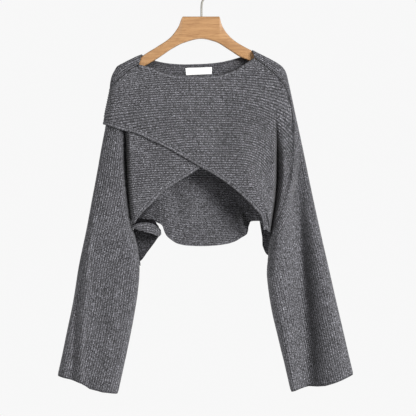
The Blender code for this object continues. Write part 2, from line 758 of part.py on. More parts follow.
def back_grid(cols, rows_n):
    grid = []
    first = 168.0
    for t in np.linspace(0.0, 1.0, rows_n + 1):
        mid = first + (604.0 - first) * t
        dl = 184.5 + (549.5 - 184.5) * t ** 0.96
        dr = 177.2 + (616.5 - 177.2) * t
        xl = float(left_back(dl))
        xr = float(right_back(dr))
        x = special(xl, xr, [xl, xr])
        tl = np.clip((-5.0 - x) / (-5.0 - xl), 0.0, 1.0)
        tr = np.clip((x + 5.0) / (xr + 5.0), 0.0, 1.0)
        d = mid + (dl - mid) * tl ** 2.2 + (dr - mid) * tr ** 2.2
        line = np.column_stack([x, y_back(x, d), -d])
        line = resample(line, cols, 10.0, 0.0, 0.0)
        line = follow(line, 0, left_back_edge(dl) + (2 * SEAM, 0.0, 0.0))
        grid.append(follow(line, 1, right_back_edge(dr) - (2 * SEAM, 0.0, 0.0))[::-1])
    return np.array(grid)


def below(rows, width):
    """Edge line moved into the cloth and lengthened at both ends."""
    line = moved(rows, width, EDGE_T)
    a = line[0] + (line[0] - line[3]) * 3.0
    b = line[-1] + (line[-1] - line[-4]) * 3.0
    return as_drop(np.vstack([a, line, b]))


front_cut = below(NECK_FRONT, 0.4)
under_cut = below(NECK_FRONT, 2.5)
back_cut = below(NECK_BACK, 0.4)
hem_cut = smooth(BACK_HEM)

# Plain rows are added, and the inside follows every row, where the cloth turns
# round the arm at the left.
mids = np.linspace(WRAP_ROWS[0][0], WRAP_ROWS[-1][0], 2 * WRAP_RIBS + 1)
crest = list(mids[1:-1:2])
mids = np.unique(np.concatenate([mids, np.linspace(293.6, 301.6, 6)]))
grid = wrap_grid(15, mids)
relief = np.zeros(grid.shape[:2])
for k, mid in enumerate(mids):
    if mid in crest:
        relief[k, 1:-1] = RIB
    if mid > 384.0:
        relief[k, -3:] = 0.0
turn = [k for k, mid in enumerate(mids) if 284.0 < mid < 330.0 or (
    k % 2 == 0 and (232.0 < mid < 330.0 or mid > 520.0))]
cloth("wrap_front", grid, relief, 4, 1, top_cut=front_cut, facing=-1.0, must_rows=turn)
grid = under_grid(12, 2 * UNDER_RIBS)
low = [k for k in range(2 * UNDER_RIBS) if k > UNDER_RIBS and k % 2 == 0]
cloth("under_front", grid, rib_rows(grid, RIB), 4, 1, top_cut=under_cut, facing=-1.0, must_rows=low)
grid = back_grid(16, 2 * BACK_RIBS)
cloth("back", grid, rib_rows(grid, RIB), 4, 1, top_cut=back_cut, low_cut=hem_cut, facing=1.0)


def band(name, rows, width, place, t, wall=WALL, lift=0.0, facing=-1.0, narrow=()):
    """Strip along an edge with ribs that run along it."""
    lines = []
    for k in range(5):
        at = moved(rows, width * k / 4.0, t, narrow)
        lines.append(place(at[:, 0], at[:, 1]) + (0.0, lift, 0.0))
    grid = np.array(lines)
    relief = np.zeros(grid.shape[:2])
    relief[1::2, 1:-1] = RIB
    return cloth(name, grid, relief, 4, 1, TRIM, wall=wall, facing=facing)


def outer_point(x, d):
    return np.stack([x, y_outer(x, d), -d], axis=-1)


def inner_point(x, d):
    return np.stack([x, y_inner(x, d), -d], axis=-1)


def back_point(x, d):
    return np.stack([x, y_back(x, d), -d], axis=-1)


band("neck_band_front", NECK_FRONT, NECK_BAND, outer_point, np.linspace(0.0, 1.0, 23),
     THIN, -(RIB + 0.3 + THIN))
band("neck_band_back", NECK_BACK, NECK_BAND, back_point, np.linspace(0.0, 1.0, 19),
     THIN, -(WALL + 0.3 + THIN), 1.0)
band("wrap_band", WRAP_EDGE, -BAND, wrap_point, np.linspace(0.0, 1.0, 43) ** 1.35,
     narrow=WRAP_NARROW)
band("under_band", UNDER_EDGE, -BAND, inner_point, np.linspace(0.0, 1.0, 29),
     narrow=UNDER_NARROW)

# Blank label inside the back neck.
rows = []
for v in np.linspace(0.0, 1.0, 3):
    line = []
    for u in np.linspace(0.0, 1.0, 7):
        top = np.array(LABEL[0]) * (1 - u) + np.array(LABEL[1]) * u
        low = np.array(LABEL[3]) * (1 - u) + np.array(LABEL[2]) * u
        x, d = top * (1 - v) + low * v
        line.append((x, float(y_back(x, d)) - WALL - 0.35, -d))
    rows.append(line[::-1])
grid = np.array(rows)
cloth("neck_label", grid, np.zeros(grid.shape[:2]), 1, 1, WHITE, wall=0.6, facing=1.0)

# Roll of the hem at the left side.
path = along([(row[0], row[1], row[2], row[3]) for row in LEFT_ROLL])(np.linspace(0.0, 1.0, 23))
lines = []
for k in range(7):
    d = path[:, 2] + (path[:, 3] - path[:, 2]) * k / 6.0
    x = np.maximum(path[:, 0], left_front(d) + 0.8)
    lines.append(np.column_stack([x, path[:, 1], -d]))
grid = np.array(lines)
cloth("left_side_roll", grid, rib_rows(grid, RIB * 0.8), 3, 1)

# Wooden hanger: rounded sections from tip to tip.
hanger_top = smooth(HANGER_TOP)
hanger_low = smooth(HANGER_LOW)
xs = np.concatenate([
    np.linspace(-181.0, -60.0, 9), [-50.8, -47.0, -43.5, -40.5, -20.0, 0.0, 20.0, 38.9],
    [42.0, 44.9, 50.0, 58.0], np.linspace(67.0, 174.5, 9)])
verts = []
faces = []
half = HANGER_T / 2
RING = 12
for x in xs:
    top = -float(hanger_top(x))
    low = -float(hanger_low(x))
    r = min(4.0, 0.45 * (top - low))
    ring = []
    for cx, cz, a0 in ((half - r, top - r, 0), (-half + r, top - r, 90), (-half + r, low + r, 180),
                       (half - r, low + r, 270)):
        for a in (0, 45, 90):
            ang = np.radians(a0 + a)
            ring.append((x, cx + r * np.cos(ang), cz + r * np.sin(ang)))
    verts += ring
for s in range(len(xs) - 1):
    for k in range(RING):
        a = s * RING + k
        b = s * RING + (k + 1) % RING
        faces.append([a, b, b + RING, a + RING])
faces.append(list(range(RING)))
faces.append([len(verts) - RING + k for k in range(RING)])
make("hanger_body", verts, faces, WOOD, 0.45)

# Hook: wire swept along a stem, an easy bend and most of a circle.
HOOK_R = 20.0 + ROD_R
line = [(0.0, -91.7), (0.0, -82.0), (0.0, -72.0), (0.8, -63.0), (5.0, -53.0), (12.0, -43.5)]
for a in range(-35, 216, 12):
    line.append((HOOK_R * np.cos(np.radians(a)), -20.0 + HOOK_R * np.sin(np.radians(a))))
line = np.array(line)
step = np.gradient(line, axis=0)
step[0] = (0.0, 1.0)
step = step / np.linalg.norm(step, axis=1)[:, None]
verts = []
faces = []
RING = 8
for p, s in zip(line, step):
    for k in range(RING):
        a = 2 * np.pi * k / RING
        out = ROD_R * np.cos(a)
        verts.append((p[0] - s[1] * out, ROD_R * np.sin(a), p[1] + s[0] * out))
for s in range(len(line) - 1):
    for k in range(RING):
        a = s * RING + k
        b = s * RING + (k + 1) % RING
        faces.append([a, b, b + RING, a + RING])
faces.append(list(range(RING)))
faces.append([len(verts) - RING + k for k in range(RING)])
make("hanger_hook", verts, faces, STEEL, 0.3, 1.0)
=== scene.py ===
import json
import bpy
import numpy as np
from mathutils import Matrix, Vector

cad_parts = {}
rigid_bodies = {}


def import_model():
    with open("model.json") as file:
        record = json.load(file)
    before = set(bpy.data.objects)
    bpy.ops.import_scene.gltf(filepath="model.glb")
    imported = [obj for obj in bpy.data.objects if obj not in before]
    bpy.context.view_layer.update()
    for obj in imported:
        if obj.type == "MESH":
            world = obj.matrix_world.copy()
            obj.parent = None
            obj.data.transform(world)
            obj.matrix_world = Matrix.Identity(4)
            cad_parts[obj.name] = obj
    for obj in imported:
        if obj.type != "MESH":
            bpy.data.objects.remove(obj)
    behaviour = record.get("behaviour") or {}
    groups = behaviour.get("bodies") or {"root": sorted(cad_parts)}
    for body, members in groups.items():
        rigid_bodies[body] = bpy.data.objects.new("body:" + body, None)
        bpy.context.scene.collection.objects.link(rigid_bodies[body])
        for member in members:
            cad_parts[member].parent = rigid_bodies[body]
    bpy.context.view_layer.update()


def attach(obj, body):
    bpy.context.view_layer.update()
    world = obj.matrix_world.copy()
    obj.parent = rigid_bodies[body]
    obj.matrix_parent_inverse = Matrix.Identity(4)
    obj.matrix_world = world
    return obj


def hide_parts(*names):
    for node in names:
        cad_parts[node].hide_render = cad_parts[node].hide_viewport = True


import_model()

# Sizes are in millimetres, with X to the viewer's right, the front at -Y and
# "drop" measured down from the inside crown of the hook.
MM = 0.001
WALL = 2.4              # thickness of the knitted cloth
NECK_WALL = 3.0         # thickness of the neck bands
LABEL_WALL = 0.6        # thickness of the neck label
SEAM = 0.15             # half of the groove where two pieces are sewn
LAYER = 4.4             # how far the outer front lies in front of the inner one
PITCH = 5.15            # distance from rib to rib
RIB = 1.35              # height of a knitted rib
SEAM_RIB = 4.6          # width of the rib that runs beside a seam
LOOP = 3.6              # length of one stitch
BAND = 10.5             # width of the knitted edge bands
NECK_BAND = 6.0         # width of the neck bands
BOTTOM = 1.2            # how round the bottom of an armhole fold is
FOLD_OPENS = 60.0       # height above an underarm from which its fold is an open V
COVER_X = -100.0        # x from which the inner front begins to keep behind the outer one
COVER_OVER = 60.0       # width over which it does
WIRE = 2.2              # radius of the hook's wire
CROWN = 20.0            # inside radius of the hook
HANGER_T = 13.0         # thickness of the hanger
LEFT_ARM = 554.7        # drop of the left underarm
RIGHT_ARM = 623.5       # drop of the right underarm
MIDDLE = -12.0          # x of the middle of the outer front's ribs
BACK_MIDDLE = -5.0      # x of the middle of the back's ribs
PULL = 26.0             # length over which a panel bends to meet its seam
# How fine the meshes are.
FINE = 6                # rows of points to a rib
SLEEVE_FINE = 10        # rows of points to a row of a sleeve's table
SLEEVE_COLS = 300       # steps round a sleeve
CUFF_ROWS = 25          # rows of points above a cuff that follow its waves
WRAP_COLS = 110         # steps along a rib of the outer front
UNDER_COLS = 70         # steps along a rib of the inner front
BACK_COLS = 76          # steps along a rib of the back
ROLL_FINE = 48          # steps across the roll

# Outlines seen from the front, each row (drop, x).
LEFT_OUTER = (
    (175.6, -130.6), (180.7, -143.3), (186.4, -155.2), (194.3, -170.8), (202.2, -184.7),
    (210.1, -189.8), (221.8, -195.8), (237.6, -199.6), (248, -200.6), (262, -199.4),
    (278.8, -200.6), (304.3, -205), (332.5, -209.8), (387.5, -220.2), (438.1, -229),
    (495.3, -239.8), (556, -251), (640.5, -268.6), (717.5, -280.9), (785.7, -295),
    (842.4, -306.7), (881.6, -315.5),
)
WRAP_OUTER = (
    (175.6, -134), (180.7, -146.7), (186.4, -158.6), (194.3, -174.2), (202.2, -188.1),
    (210.1, -192.9), (221.8, -197.3), (237.6, -200.2), (255.2, -202.6), (278.8, -207.2),
    (304.3, -212.6), (329.8, -216.4), (387.5, -225.5),
)
LEFT_FRONT_SEAM = (
    (199, -137), (222.5, -143.5), (251.1, -159.5), (284.1, -169.4), (319.3, -170.5),
    (354.5, -167.6), (396.3, -166.1), (446.9, -163.9), (501.9, -159.5), (554.7, -152.9),
    (574.5, -147.2), (616.3, -139.7), (649.3, -137.3), (693.3, -140.8), (752.7, -150),
    (805.5, -160.2), (869.3, -173.8), (920.7, -185.2),
)
LEFT_UNDERARM = 9       # row of the underarm in that table
LEFT_BACK_SEAM = (
    (182.9, -117.7), (198.3, -139.7), (226.9, -168.3), (259.9, -181.5), (301.7, -185.9),
    (341.3, -181.5), (385.3, -174.9), (446.9, -166.1), (501.9, -159.5), (554.7, -152.9),
)
RIGHT_OUTER = (
    (165.9, 110.4), (174.5, 127.2), (184.2, 146.7), (195, 166.3), (204.4, 178.2), (215, 184.6),
    (235.7, 190.1), (261.2, 195.8), (308.3, 205.7), (353.4, 215.6), (400.7, 225.5),
    (455.7, 236.7), (521.7, 250.8), (584.4, 264.7), (657.4, 281.6), (713.1, 294.1),
    (771.6, 307.8), (825.3, 320.1), (878.9, 332.9),
)
RIGHT_FRONT_SEAM = (
    (183, 115.3), (204.9, 143.7), (218.9, 159.5), (234.3, 173.1), (256.1, 186.8), (292.9, 196.5),
    (321.5, 199.5), (350.1, 201), (385, 201.5), (420, 200), (455, 195.5), (485, 187),
    (515, 175.5), (545, 163.5), (572.3, 154), (600, 148.6), (623.5, 147.2), (653.7, 144.8),
    (691.1, 148.1), (741.2, 156.2), (794.5, 168.7), (857.4, 183.9), (916.8, 197.8),
)
RIGHT_UNDERARM = 16     # row of the underarm in that table
# Fold of the outer front that runs down to the right underarm.
RIGHT_FOLD = (
    (250, 156), (297, 161.7), (348, 165), (385, 166.2), (436, 166.2), (495, 161.9), (544, 155),
    (590, 149),
)
RIGHT_BACK_SEAM = (
    (175.8, 100.1), (200.5, 133.1), (231.3, 163.9), (266.5, 181.5), (308.3, 188.1),
    (352.3, 188.1), (396.3, 181.5), (451.3, 172.7), (510.7, 162.8), (574.5, 154), (623.5, 147.2),
)
# Neck lines and hems, each row (x, drop).
NECK_FRONT = (
    (-137.7, 198.3), (-118.6, 202.7), (-103.8, 207.1), (-86.2, 215.9), (-68.4, 220.3),
    (-38.9, 223.1), (-0.7, 224.7), (34.8, 221.8), (64, 214.3), (93.5, 198), (115.5, 183.4),
)
NECK_BACK = (
    (-114.5, 183.2), (-97.9, 189.2), (-68.4, 194.3), (-38.9, 196.1), (-0.7, 195.2), (34.8, 192.3),
    (64, 186.4), (84.7, 180.4), (98, 176.2),
)
BACK_HEM = (
    (-152.9, 551.5), (-133.1, 539.3), (-113.3, 540.6), (-100.1, 544.5), (-86.9, 551.4),
    (-80.3, 570.1), (-66.2, 583.9), (-52.1, 592.1), (-26.8, 596.5), (1.1, 597.3), (29.3, 596),
    (57.4, 592.1), (74.1, 586.8), (88.2, 578.4), (101.2, 568.5), (105.6, 544.5), (117.7, 541.5),
    (130.9, 541.5), (134, 553), (134.6, 580), (135.2, 592), (138.5, 604), (147.2, 618),
)
# Lower end of the tab of the outer front at the right underarm (x, drop).
TAB = ((-300, 700), (133, 700), (134, 560), (146, 564), (160, 568))
# Free slanting edges (x, drop).  An x beyond WRAP_OUTER lies round on the back.
WRAP_EDGE = (
    (-240.9, 323.7), (-215.8, 329.4), (-174.2, 342.6), (-139, 350.9), (-111.1, 365),
    (-82.9, 377.8), (-49.5, 395.8), (-1.5, 424), (29.3, 440.9), (57.4, 460.5), (85.4, 482.9),
    (113.3, 510.7), (130.9, 533.8), (134.9, 556.9), (132.9, 583.3), (136.2, 603.4), (142.5, 616),
)
UNDER_EDGE = (
    (-148.4, 547.2), (-130.9, 525), (-111.1, 505.4), (-82.9, 477.2), (-55, 457.6), (-26.8, 440.9),
    (-1.5, 424), (45.1, 394.1), (95.7, 362.2), (139.7, 334.7), (175.5, 306.9),
)
BAND_ROWS = 13          # rows of the outer front's edge that its band follows
BAND_END = ((134.2, 550.0), (134.6, 560.5))
# How the width of a band changes along its edge, each row (place along it, share).
EVEN = ((0, 1), (1, 1))
WRAP_BESIDE = ((0, 1.06), (0.2, 1.06), (0.3, 1), (0.9, 1), (1, 0.3))
UNDER_NARROW = ((0, 0.3), (0.14, 1), (1, 1))
# Depth of the cloth by drop: inner front, outer front, back, how round the outer
# sides are, how round the folds at the armholes are and how round the left sleeve is.
DEPTH = (  # drop, inner, outer, back, side, fold, left
    (165, 10.4, 15, 12.4, 14, 14, 14), (225, 13, 17.8, 14, 15, 15, 15),
    (297, 18.5, 23.5, 17, 20, 16, 20), (350, 21, 26, 20, 27, 18, 27),
    (424, 23.5, 28.5, 22, 38, 22, 30), (555, 23.5, 29, 23, 36, 30, 30),
    (624, 22.5, 27, 23, 30, 30, 28), (760, 21, 22.5, 20, 26, 26, 24),
    (921, 20, 21, 19, 24, 24, 20),
)
# How far the armhole folds have closed, from 0 (open) to 1 (sleeve parted).
CLOSING = (  # drop, left front, left back, right front, right back
    (165, 0, 0, 0, 0), (240, 0, 0, 0, 0), (297, 0.75, 0.03, 0.05, 0), (330, 0.95, 0.1, 0.3, 0.03),
    (360, 1, 0.18, 0.62, 0.06), (400, 1, 0.3, 0.93, 0.18), (450, 1, 0.5, 1, 0.35),
    (500, 1, 0.72, 1, 0.6), (554.7, 1, 1, 1, 0.8), (590, 1, 1, 1, 0.91), (623.5, 1, 1, 1, 1),
    (921, 1, 1, 1, 1),
)
# How much deeper the bottom of the armhole folds lies, and how wide that bottom is.
GROOVE = (  # drop, left, right
    (165, 0, 0), (335, 0, 0), (365, 9, 0), (400, 10, 6), (440, 9, 9), (480, 5.5, 5),
    (520, 2.5, 3), (554.7, 0, 2), (600, 0, 0), (921, 0, 0),
)
LEFT_WIDE = ((360, 8.5), (400, 8), (451, 6.5), (495, 5), (540, 4))
RIGHT_WIDE = ((360, 6), (400, 9), (450, 9.5), (480, 8), (520, 6), (560, 4))
# Width of each front fold to its left and right, as shares of its roundness.
LEFT_SIDES = (0.6, 0.5)
RIGHT_SIDES = (0.4, 0.8)
# Sections of a sleeve from the neck down: drop of the outer side, of the front
# seam (or inner side) and of the back seam.
LEFT_ROWS = (  # outer, front, back
    (175.8, 199.8, 183.6), (183.5, 222.5, 198.3), (196, 246, 221), (212, 272, 248),
    (240, 300, 285), (275, 329, 320), (318, 362, 355), (372, 405, 402), (428, 455, 455),
    (484, 506, 506), (538, 554.7, 554.7), (592, 612, 612), (650, 672, 672), (708, 734, 734),
    (768, 798, 798), (826, 860, 860), (881.6, 920.7, 920.7),
)
LEFT_CLOSED = 10        # row from which the sleeve is a closed tube
RIGHT_ROWS = (  # outer, front, back
    (166.4, 184, 176.4), (180, 205, 200), (195.5, 224, 227), (214, 248, 256), (246, 279, 290),
    (287, 315, 325), (330, 352, 362), (382, 405, 410), (438, 460, 462), (492, 515, 516),
    (546, 570, 571), (598, 623.5, 623.5), (654, 682, 682), (710, 741, 741), (767, 800, 800),
    (824, 860, 860), (878.9, 916.8, 916.8),
)
RIGHT_CLOSED = 11       # row from which the sleeve is a closed tube
# How much lower a cuff hangs in front, each row (share across it, drop).
LEFT_WAVE = ((0, 0), (0.12, 2.5), (0.24, 5.5), (0.46, 6.6), (0.58, 0), (0.8, -1), (1, 0))
RIGHT_WAVE = ((0, 0), (0.14, -1), (0.28, -1), (0.42, 4), (0.55, 7), (0.7, 6), (0.86, 2.5), (1, 0))
# Seam of the outer front on the left shoulder, going round to the back (x, drop).
RAGLAN = (
    (-138.6, 199.4), (-157.3, 211), (-175.3, 226.6), (-192.1, 242.3), (-204.4, 254.5),
    (-223.3, 286.3), (-238.7, 311.5),
)
# End of the hidden inner front at the right armhole (x, drop).
HIDDEN_END = (
    (112, 199), (143, 214), (161, 232), (173, 252), (179, 272),
)
# Ribs of the outer front: drop at the middle, at the left end and at the right seam,
# and how late they bend down towards that seam.
WRAP_ROWS = (  # mid, left, right, bend
    (171, 199.4, 183, 2.6), (191, 211, 201, 2.6), (205, 226.6, 212, 2.6), (222, 242.3, 230, 2.8),
    (240, 257.5, 258, 3.1), (262, 280, 298, 3.4), (284, 302.6, 341, 3.8), (300, 318.6, 373, 4.2),
    (316, 331.9, 404, 4.7), (328, 340.2, 426, 5.1), (346.5, 355, 455, 5.8),
    (363, 368.5, 478, 6.3), (384.5, 387, 505, 6.8), (406, 406.4, 528, 7),
    (431.5, 432.3, 550, 6.6), (451.5, 451.8, 563, 6), (474.5, 474.8, 575, 5.2),
    (503.5, 503.8, 585, 4), (530, 530.2, 592, 3), (560, 560.2, 598, 2.2), (594, 594.2, 602, 1.6),
)
# Ribs of the inner front: drop at the middle, at the left seam and at the right end.
UNDER_ROWS = (  # mid, left, right
    (178, 207.5, 199), (215, 247, 251), (262, 292, 290), (318, 338, 329), (352, 366, 354.5),
    (385, 394, 385), (416, 423, 416.5), (446, 453, 447), (470, 478, 471), (496, 502, 497.5),
    (517, 523, 517.5), (536, 540, 536.5),
)
# First and last rib of the back: drop at the middle, at the left and at the right.
BACK_TOP = (168.0, 184.5, 177.2)
BACK_LOW = (604.0, 549.5, 616.5)
# Top and bottom of the wooden hanger, each row (x, drop).
HANGER_TOP = (
    (-181, 212.5), (-170.5, 204.6), (-154, 195.2), (-136, 184), (-127.4, 176.9), (-97.9, 158.4),
    (-68.4, 137.8), (-50.8, 114.2), (-40.5, 92), (38.9, 92), (44.9, 111.1), (67.1, 140.6),
    (102, 162.6), (110, 166.8), (133.1, 184.4), (161.7, 200.6), (174.5, 211.5),
)
HANGER_LOW = (
    (-181, 223.7), (-170.5, 223.8), (-154, 216.9), (-136.2, 207.1), (-127, 202), (-97.9, 184.8),
    (-62.7, 161.3), (-39.2, 149.6), (-0.7, 140.6), (28.6, 146.6), (64, 167.2), (84.7, 180.4),
    (105.4, 189.2), (133.1, 206.1), (161.7, 221.5), (174.5, 222.7),
)
# The open roll of the hem at the left side: x, y, top and bottom drop.
LEFT_ROLL = (  # x, y, top, bottom
    (-157, -11, 551, 557.5), (-150.4, -14, 550.5, 558), (-138, -19, 546, 562),
    (-122, -21, 544.5, 566), (-106, -19.5, 548, 570), (-96, -13, 556, 574.5),
    (-90.3, -3, 564.5, 573.5), (-93, 6, 564.5, 575), (-104, 12, 560, 590), (-120, 14, 560, 611),
    (-134, 12, 554, 629), (-150, 9, 551, 640),
)
# Upper end of the part turned in behind the lip (x, drop).
TURNED = (
    (-157, 540), (-143, 533.5), (-136, 536), (-122, 537.5), (-108, 539), (-101, 545.5),
    (-95, 555), (-90, 564),
)
TURNED_POINTS = 66      # points along the roll that the turned-in part follows
# Corners of the neck label (x, drop).
LABEL = ((-35.6, 204.2), (23.1, 202.3), (22.4, 217.4), (-34.3, 220))
# The wire of the hook up to its round part (x, z).
HOOK_STEM = ((0, -91.7), (0, -82), (0, -72), (0.8, -63), (5, -53), (12, -43.5))


def clamp(x):
    return np.clip(x, 0.0, 1.0)


def shares(count):
    """Even steps from 0 to 1."""
    return np.linspace(0.0, 1.0, count)


def lengths(line):
    """Length along a line of points, from the first one."""
    step = np.linalg.norm(np.diff(line, axis=0), axis=1)
    return np.concatenate([[0.0], np.cumsum(step)])


def between(rows):
    """Straight lines through rows of two columns."""
    xs, ys = np.array(rows, float).T

    def value(x):
        return np.interp(x, xs, ys)

    return value


def smooth(rows, a=0, b=1):
    """Smooth curve through table rows without overshoot."""
    xs = np.array([row[a] for row in rows], float)
    ys = np.array([row[b] for row in rows], float)
    gap = np.diff(xs)
    slope = np.diff(ys) / gap
    tangent = np.zeros_like(ys)
    tangent[[0, -1]] = slope[[0, -1]]
    for k in range(1, len(xs) - 1):
        if slope[k - 1] * slope[k] > 0:
            w1 = 2 * gap[k] + gap[k - 1]
            w2 = gap[k] + 2 * gap[k - 1]
            tangent[k] = (w1 + w2) / (w1 / slope[k - 1] + w2 / slope[k])

    def value(x):
        x = np.clip(np.asarray(x, float), xs[0], xs[-1])
        k = np.clip(np.searchsorted(xs, x) - 1, 0, len(xs) - 2)
        t = (x - xs[k]) / gap[k]
        return (ys[k] * (1 + 2 * t) * (1 - t) ** 2 + tangent[k] * gap[k] * t * (1 - t) ** 2
                + ys[k + 1] * t * t * (3 - 2 * t) + tangent[k + 1] * gap[k] * t * t * (t - 1))

    return value


def through(rows, places):
    """Smooth curve that goes through each row of columns at its place."""
    parts = [smooth(np.column_stack([places, column])) for column in np.array(rows, float).T]

    def value(t):
        return np.stack([part(t) for part in parts], axis=-1)

    return value


def along(rows):
    """Curve through rows by the length between them, as a function of 0..1."""
    pos = lengths(np.array(rows, float)[:, :2])
    return through(rows, pos / pos[-1])


left_outer = smooth(LEFT_OUTER)
wrap_outer = smooth(WRAP_OUTER)
left_front = smooth(LEFT_FRONT_SEAM)
left_back = smooth(LEFT_BACK_SEAM + LEFT_FRONT_SEAM[LEFT_UNDERARM + 1:])
right_outer = smooth(RIGHT_OUTER)
right_front = smooth(RIGHT_FRONT_SEAM)
right_back = smooth(RIGHT_BACK_SEAM + RIGHT_FRONT_SEAM[RIGHT_UNDERARM + 1:])
right_fold = smooth(RIGHT_FOLD + RIGHT_FRONT_SEAM[RIGHT_UNDERARM:])
inner_depth, outer_depth, back_depth, side_round, fold_round, left_round = (
    smooth(DEPTH, 0, column) for column in range(1, 7))
left_front_shut, left_back_shut, right_front_shut, right_back_shut = (
    smooth(CLOSING, 0, column) for column in range(1, 5))
left_groove, right_groove = (smooth(GROOVE, 0, column) for column in (1, 2))
left_wide = between(LEFT_WIDE)
right_wide = between(RIGHT_WIDE)


def swell(t):
    """Quarter round that rises from 0 to 1."""
    return np.sqrt(1.0 - (1.0 - clamp(t)) ** 2)


def fold(x, d, line, shut, underarm, sides=(1.0, 1.0)):
    """Sunk fold along an armhole: an open V, with round sides at the underarm."""
    off = x - line(d)
    above = clamp((underarm - d) / FOLD_OPENS)
    away = np.sqrt(off ** 2 + (BOTTOM * above) ** 2) - BOTTOM * above
    shape = swell(away / (fold_round(d) * np.where(off < 0.0, *sides))) ** (1.0 + 0.25 * above)
    return 1.0 - shut(d) * (1.0 - shape)


def trough(x, line, wide):
    """Flat-bottomed trough, 1 deep."""
    return np.exp(-((x - line) / wide) ** 4)


def covered(x):
    """Share by which the inner front keeps behind the outer one."""
    return clamp((x - COVER_X) / COVER_OVER)


def y_outer(x, d):
    """Front of the outer layer: crossing front and right sleeve."""
    y = outer_depth(d) * swell((x - wrap_outer(d)) / side_round(d))
    y = y * swell((right_outer(d) - x) / side_round(d))
    y = y * fold(x, d, right_fold, right_front_shut, RIGHT_ARM, RIGHT_SIDES)
    wide = right_wide(d)
    return right_groove(d) * trough(x, right_fold(d) + 0.25 * wide, wide) - y


def y_inner(x, d):
    """Front of the inner layer: left sleeve and inner front."""
    y = inner_depth(d) * swell((x - left_outer(d)) / left_round(d))
    y = y * fold(x, d, left_front, left_front_shut, LEFT_ARM, LEFT_SIDES)
    room = np.maximum(-y_outer(x, d) - LAYER, 0.0)
    y = y + (np.minimum(y, room) - y) * covered(x)
    return left_groove(d) * trough(x, left_front(d) - 1.5, left_wide(d)) - y


def y_back(x, d):
    """Back of the garment: both sleeves and the back."""
    y = back_depth(d) * swell((x - left_outer(d)) / left_round(d))
    y = y * swell((right_outer(d) - x) / side_round(d))
    y = y * fold(x, d, left_back, left_back_shut, LEFT_ARM)
    return y * fold(x, d, right_back, right_back_shut, RIGHT_ARM)


def y_cape(x, d):
    """Back of the outer layer where it wraps round the left arm."""
    return (back_depth(d) + LAYER + 0.4) * swell((x - wrap_outer(d)) / (side_round(d) + 1.0))


def pick(want, pos, line):
    """Points of a line at given lengths along it."""
    return np.column_stack([np.interp(want, pos, column) for column in line.T])


def resample(line, steps, bend, trim_a, trim_b):
    """Points along a dense line: bend is what a turn of one radian counts in length."""
    pos = lengths(line)
    step = np.diff(line, axis=0)
    heading = step / np.maximum(np.linalg.norm(step, axis=1), 1e-9)[:, None]
    turn = np.zeros(len(line))
    turn[1:-1] = np.linalg.norm(np.diff(heading, axis=0), axis=1)
    weight = pos + bend * np.cumsum(turn)
    lo, hi = np.interp((trim_a, pos[-1] - trim_b), pos, weight)
    return pick(np.interp(np.linspace(lo, hi, steps + 1), weight, pos), pos, line)


def bell(t):
    return np.exp(-t * t)


# Soft creases on each face: how high, how wide, and the line it runs on
# (x, drop).  A minus height is a trough.  Two widths are the left and right side.
CREASES = {
    "front": (
        # left sleeve
        (6.5, (9, 6), ((-229, 480), (-238, 555), (-246, 602), (-250.5, 653), (-253, 703),
            (-257.5, 754), (-260.5, 800), (-262.5, 842), (-263.6, 905))),
        (-6.5, 9, ((-270, 690), (-273, 730), (-279, 800), (-286, 905))),
        (-2.6, 24, ((-205, 600), (-214, 680), (-222, 760), (-226, 850))),
        (2.2, 15, ((-186, 640), (-192, 720), (-202, 820), (-210, 905))),
        (-2, 17, ((-205, 380), (-214, 440), (-222, 500))),
        # right sleeve
        (-20, (26, 20), ((205, 330), (208, 400), (213, 495), (217, 605), (221, 715), (226, 825),
            (231, 925))),
        (-8, (20, 50), ((222, 470), (228, 605), (234, 715), (240, 825), (244, 925))),
        (4, (36, 16), ((182, 360), (186, 420), (188, 500), (186, 560), (186, 640), (188, 715),
            (191, 800), (195, 905))),
        (7, (34, 14), ((236, 500), (258, 600), (276, 690), (292, 780), (306, 880), (310, 925))),
        # outer front
        (-6, (30, 22), ((54, 235), (48, 300), (38, 350), (24, 405))),
        (7.5, (34, 30), ((84, 315), (92, 400), (102, 460), (114, 520))),
        (2.4, 24, ((-170, 215), (-176, 255), (-180, 300))),
        (-2, 22, ((-110, 235), (-60, 275), (0, 300), (50, 300))),
        (2, 26, ((-100, 300), (-40, 340), (10, 370), (40, 385))),
        (-1.8, 16, ((20, 240), (60, 236), (110, 226), (140, 228))),
    ),
    "inner": (
        (2.6, 22, ((-150, 400), (-120, 440), (-96, 460))),
        (-2.4, 18, ((-100, 380), (-112, 420), (-140, 470))),
    ),
    "back": (
        # back
        (-4, 18, ((-150, 330), (-120, 400), (-92, 470), (-70, 540), (-60, 590))),
        (3, 20, ((-118, 330), (-92, 400), (-66, 470), (-44, 550))),
        (-3, 26, ((-22, 300), (-18, 380), (-24, 460), (-20, 560))),
        (6.5, 26, ((50, 400), (58, 450), (64, 500), (58, 548))),
        (-5.2, 15, ((150, 330), (128, 400), (112, 470), (101, 530))),
        # small fold at the right end of the back's hem, turned to the front
        (-9, 5, ((84, 505), (86, 543), (91, 556), (103, 572))),
        (5, 5, ((97, 520), (99, 540), (102, 556))),
        # back, below the neck
        (2, 22, ((-60, 240), (-20, 262), (30, 262), (80, 244))),
        # left sleeve
        (-5, 12, ((-206, 420), (-218, 500), (-232, 590), (-246, 690), (-258, 800), (-270, 915))),
        (3, 15, ((-190, 470), (-202, 590), (-214, 700), (-222, 810), (-232, 915))),
        (2.6, 14, ((-246, 560), (-262, 660), (-280, 780), (-294, 890))),
        # right sleeve
        (-4.6, 13, ((204, 400), (214, 480), (220, 570), (232, 680), (244, 800), (252, 915))),
        (3, 16, ((232, 470), (246, 590), (262, 700), (282, 820), (298, 905))),
        (2.4, 14, ((190, 560), (196, 660), (206, 780), (216, 905))),
    ),
}
CREASE_FADE = 0.28      # share of its length over which a crease fades at an end
CUFF_DROP = 860         # a crease that ends below this runs out over the cuff


